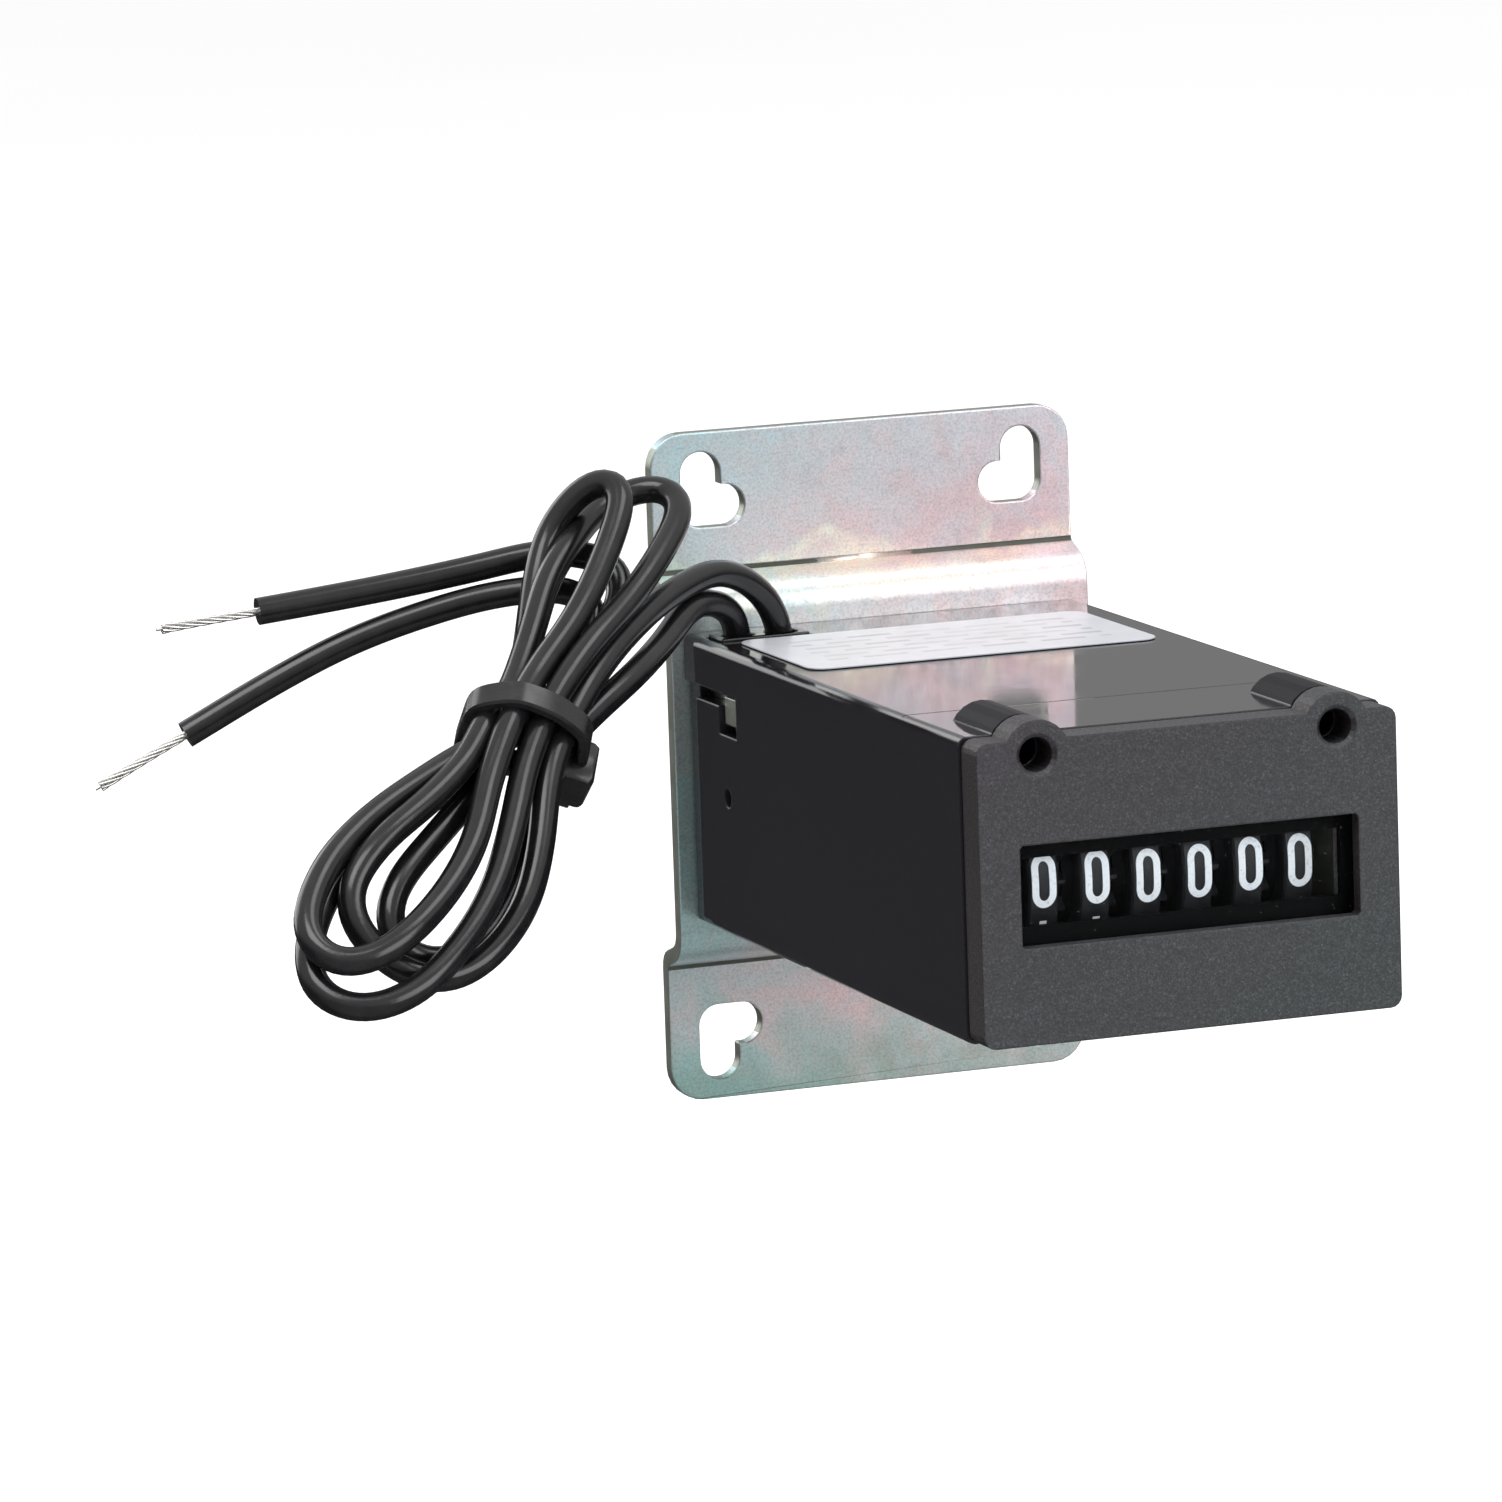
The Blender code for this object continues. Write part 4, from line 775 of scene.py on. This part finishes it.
# --- leads and tie ---------------------------------------------------------------------------------
def strands(tip, out, count=6):
    """Paths of one straight core strand and six laid round it, a little opened at the cut end."""
    side = out.cross(Vector((0, 0, 1))).normalized()
    up = out.cross(side)
    steps = 40
    hidden = 0.5 * MM            # length that starts inside the insulation
    opening = 0.35
    paths = [[tip + out * (STRIPPED * i / steps) for i in range(steps + 1)]]
    for k in range(count):
        path = []
        for i in range(steps + 1):
            along = STRIPPED * i / steps - hidden
            angle = 2 * math.pi * (k / count + along / STRAND_LAY)
            spread = STRAND_D * (1.0 + opening * (i / steps) ** 4)
            path.append(tip + out * along + (side * math.cos(angle) + up * math.sin(angle)) * spread)
        paths.append(path)
    return paths


def make_leads(mats):
    """Both leads, each a single wire from the grommet through the hank to its bare end."""
    route_step, passes = 0.7 * MM, 10
    leads = []
    for number, route in enumerate(LEAD_ROUTES, 1):
        line = eased(smooth_route([Vector(p) * MM for p in route], route_step), passes)
        lead = tube(f"lead_wire_{number}", [line], LEAD_D / 2, mats["black_pvc"])
        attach(lead, BASE)
        nodes = [f"lead_{number}", f"free_end_{number}"] + (["lead_hank"] if number == 1 else [])
        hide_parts(*nodes)
        out = (line[-1] - line[-3]).normalized()
        bare = tube(f"strands_{number}", strands(line[-1], out), STRAND_D / 2, mats["tinned_strand"], 3)
        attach(bare, BASE)
        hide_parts(f"bare_conductor_{number}")
        leads.append((lead, bare, line))
    return leads


def tie_frame():
    """Unit vectors of the tie: along the hank, across the band's loop, and through to the front."""
    across = HANK_FACE.cross(HANK_AXIS).normalized()
    through = HANK_AXIS.cross(across).normalized()
    lean = Matrix.Rotation(math.radians(TIE_TILT), 3, through)
    return lean @ HANK_AXIS, lean @ across, through


def hull(points):
    """Convex outline of points in a plane, anticlockwise."""
    points = sorted(set((round(x, 7), round(y, 7)) for x, y in points))

    def chain(sequence):
        kept = []
        for p in sequence:
            while len(kept) > 1 and ((kept[-1][0] - kept[-2][0]) * (p[1] - kept[-2][1])
                                     - (kept[-1][1] - kept[-2][1]) * (p[0] - kept[-2][0])) <= 0:
                kept.pop()
            kept.append(p)
        return kept[:-1]

    return chain(points) + chain(reversed(points))


def band_loop(lines, along, across, through):
    """The line that a band takes when pulled tight round every wire crossing the tie's plane."""
    reach = LEAD_D / 2 + 0.12 * MM
    near = 13 * MM
    spots = 24
    points = []
    for line in lines:
        for a, b in zip(line, line[1:]):
            here, there = (a - TIE_AT).dot(along), (b - TIE_AT).dot(along)
            if here * there <= 0 and (a - TIE_AT).length < near:
                u, v = (a - TIE_AT).dot(across), (a - TIE_AT).dot(through)
                for t in range(spots):
                    angle = 2 * math.pi * t / spots
                    points.append((u + reach * math.cos(angle), v + reach * math.sin(angle)))
    outline = [Vector((u, v, 0)) for u, v in hull(points)]
    closed = smooth_route(outline + outline[:1], 0.5 * MM)[:-1]
    for _ in range(6):
        count = len(closed)
        closed = [(closed[i - 1] + closed[i] * 2 + closed[(i + 1) % count]) / 4 for i in range(count)]
    return closed


def add_block(bm, place, size, corner, at):
    """A box with rounded long edges; size and at are (along, across, through)."""
    half_a, half_u, half_v = (s / 2 for s in size)
    end_size = 0.86              # of each end face, against the box's middle
    outline = []
    for side_u, side_v, start in ((1, -1, -90), (1, 1, 0), (-1, 1, 90), (-1, -1, 180)):
        for i in range(4):
            angle = math.radians(start + 30 * i)
            outline.append((side_u * (half_u - corner) + corner * math.cos(angle),
                            side_v * (half_v - corner) + corner * math.sin(angle)))
    rings = []
    for a, shrink in ((-half_a, end_size), (corner - half_a, 1.0),
                      (half_a - corner, 1.0), (half_a, end_size)):
        rings.append([bm.verts.new(place(at[0] + a, at[1] + u * shrink, at[2] + v * shrink))
                      for u, v in outline])
    count = len(outline)
    bm.faces.new(rings[0])
    bm.faces.new(list(reversed(rings[-1])))
    for low, high in zip(rings, rings[1:]):
        for i in range(count):
            j = (i + 1) % count
            bm.faces.new((low[i], low[j], high[j], high[i]))


def add_band(bm, place, loop):
    """The tie's band: a flat section with broken corners, swept round the loop."""
    width, thick = TIE_BAND
    corner = 0.2 * MM
    section = [(-width / 2, corner), (-width / 2 + corner, 0.0), (width / 2 - corner, 0.0),
               (width / 2, corner), (width / 2, thick - corner), (width / 2 - corner, thick),
               (-width / 2 + corner, thick), (-width / 2, thick - corner)]
    count = len(loop)
    rings = []
    for i, p in enumerate(loop):
        way = (loop[(i + 1) % count] - loop[i - 1]).normalized()
        outward = Vector((way.y, -way.x, 0))
        rings.append([bm.verts.new(place(a, p.x + outward.x * r, p.y + outward.y * r))
                      for a, r in section])
    for i in range(count):
        here, there = rings[i], rings[(i + 1) % count]
        for j in range(len(section)):
            k = (j + 1) % len(section)
            bm.faces.new((here[j], here[k], there[k], there[j]))


def make_tie(mats, lines):
    """The cable tie: its band, its head at the loop's lower right, and the ridged tail under it."""
    along, across, through = tie_frame()

    def place(a, u, v):
        return TIE_AT + along * a + across * u + through * v

    loop = band_loop(lines, along, across, through)
    bm = bmesh.new()
    add_band(bm, place, loop)
    right = max(p.x for p in loop)
    back = min(p.y for p in loop)
    head = (0.3 * MM, right + 0.3 * MM, back + 2.1 * MM)
    tail = (0.0, head[1] + 0.5 * MM, head[2] - 2.9 * MM)
    add_block(bm, place, HEAD_SIZE, 0.45 * MM, head)
    add_block(bm, place, TAIL_SIZE, 0.12 * MM, tail)
    first_ridge = tail[2] - 0.9 * MM
    for i in range(RIDGES):
        add_block(bm, place, RIDGE_SIZE, 0.08 * MM, (tail[0], tail[1], first_ridge + RIDGE_PITCH * i))
    return add_piece("tie_strap", to_mesh("tie_strap", bm, 40), mats["black_nylon"], BASE,
                     ("cable_tie",))


# --- frame nodes that show as they are -------------------------------------------------------------
def finish_nodes(frame, mats):
    """Give each CAD node that still shows the finish of its slot in the record."""
    slots = {part["node"]: part["material_slot"] for part in frame["record"]["subparts"]}
    for name, obj in frame["nodes"].items():
        if obj.hide_render:
            continue
        mat = mats[slots[name]]
        if not obj.material_slots:
            obj.data.materials.append(mat)
        for slot in obj.material_slots:
            slot.material = mat


# --- studio ----------------------------------------------------------------------------------------
def make_camera():
    """The camera as it was solved from the straight edges in the photo."""
    data = bpy.data.cameras.new("camera")
    data.lens = CAMERA_LENS
    data.sensor_width = SENSOR
    data.clip_start = 0.05
    data.clip_end = 60.0
    camera = bpy.data.objects.new("camera", data)
    camera.location = CAMERA_AT
    camera.rotation_euler = CAMERA_TURN
    bpy.context.scene.collection.objects.link(camera)
    bpy.context.scene.camera = camera


def make_floor():
    """A wide floor that catches the shadows; gloss doesn't mirror it."""
    bm = bmesh.new()
    bmesh.ops.create_grid(bm, x_segments=8, y_segments=8, size=12.0)
    mesh = to_mesh("floor", bm)
    mesh.materials.append(pale_floor())
    floor = bpy.data.objects.new("floor", mesh)
    floor.location = (0.0, 0.0, FLOOR_Z)
    floor.visible_glossy = False
    bpy.context.scene.collection.objects.link(floor)


def soft_box(name, at, side, watts):
    """A square lamp that faces the counter."""
    data = bpy.data.lights.new(name, "AREA")
    data.shape = "RECTANGLE"
    data.size = side
    data.size_y = side
    data.energy = watts
    lamp = bpy.data.objects.new(name, data)
    lamp.location = at
    lamp.rotation_euler = (SOFT_BOX_AIM - Vector(at)).to_track_quat("-Z", "Y").to_euler()
    bpy.context.scene.collection.objects.link(lamp)


def make_world():
    """Bright above and in front, dark low behind, so that glossy black keeps its depth."""
    world = bpy.data.worlds.new("studio")
    bpy.context.scene.world = world
    world.use_nodes = True
    nodes, links = world.node_tree.nodes, world.node_tree.links
    coords = nodes.new("ShaderNodeTexCoord")
    split = nodes.new("ShaderNodeSeparateXYZ")
    links.new(coords.outputs["Generated"], split.inputs["Vector"])

    def ramp(axis, stops):
        """Grey along an axis of the sky, from straight down (0) to straight up (1) for Z."""
        shift = nodes.new("ShaderNodeMath")
        shift.operation = "MULTIPLY_ADD"
        shift.inputs[1].default_value = 0.5
        shift.inputs[2].default_value = 0.5
        links.new(split.outputs[axis], shift.inputs[0])
        node = nodes.new("ShaderNodeValToRGB")
        fill_ramp(node, stops)
        links.new(shift.outputs["Value"], node.inputs["Fac"])
        return node.outputs["Color"]

    up = ramp("Z", ((0.0, 0.05), (0.47, 0.05), (0.53, 0.26), (0.58, 0.41), (0.68, 0.70), (1.0, 0.85)))
    front = ramp("Y", ((0.0, 0.38), (0.3, 0.28), (0.5, 0.0), (1.0, 0.0)))
    background = nodes["Background"]
    links.new(add_mix(world.node_tree, 1.0, up, front, "LIGHTEN"), background.inputs["Color"])
    background.inputs["Strength"].default_value = 1.0


def make_studio():
    bpy.context.scene.view_settings.view_transform = "Standard"
    make_camera()
    make_world()
    make_floor()
    for lamp in SOFT_BOXES:
        soft_box(*lamp)


def main():
    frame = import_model()
    mats = make_materials()
    make_studio()
    leads = make_leads(mats)
    tie = make_tie(mats, [line for _, _, line in leads])
    make_casing(frame, mats)
    for index in range(DIGITS):
        make_wheel(frame, mats, index)
    finish_nodes(frame, mats)


main()
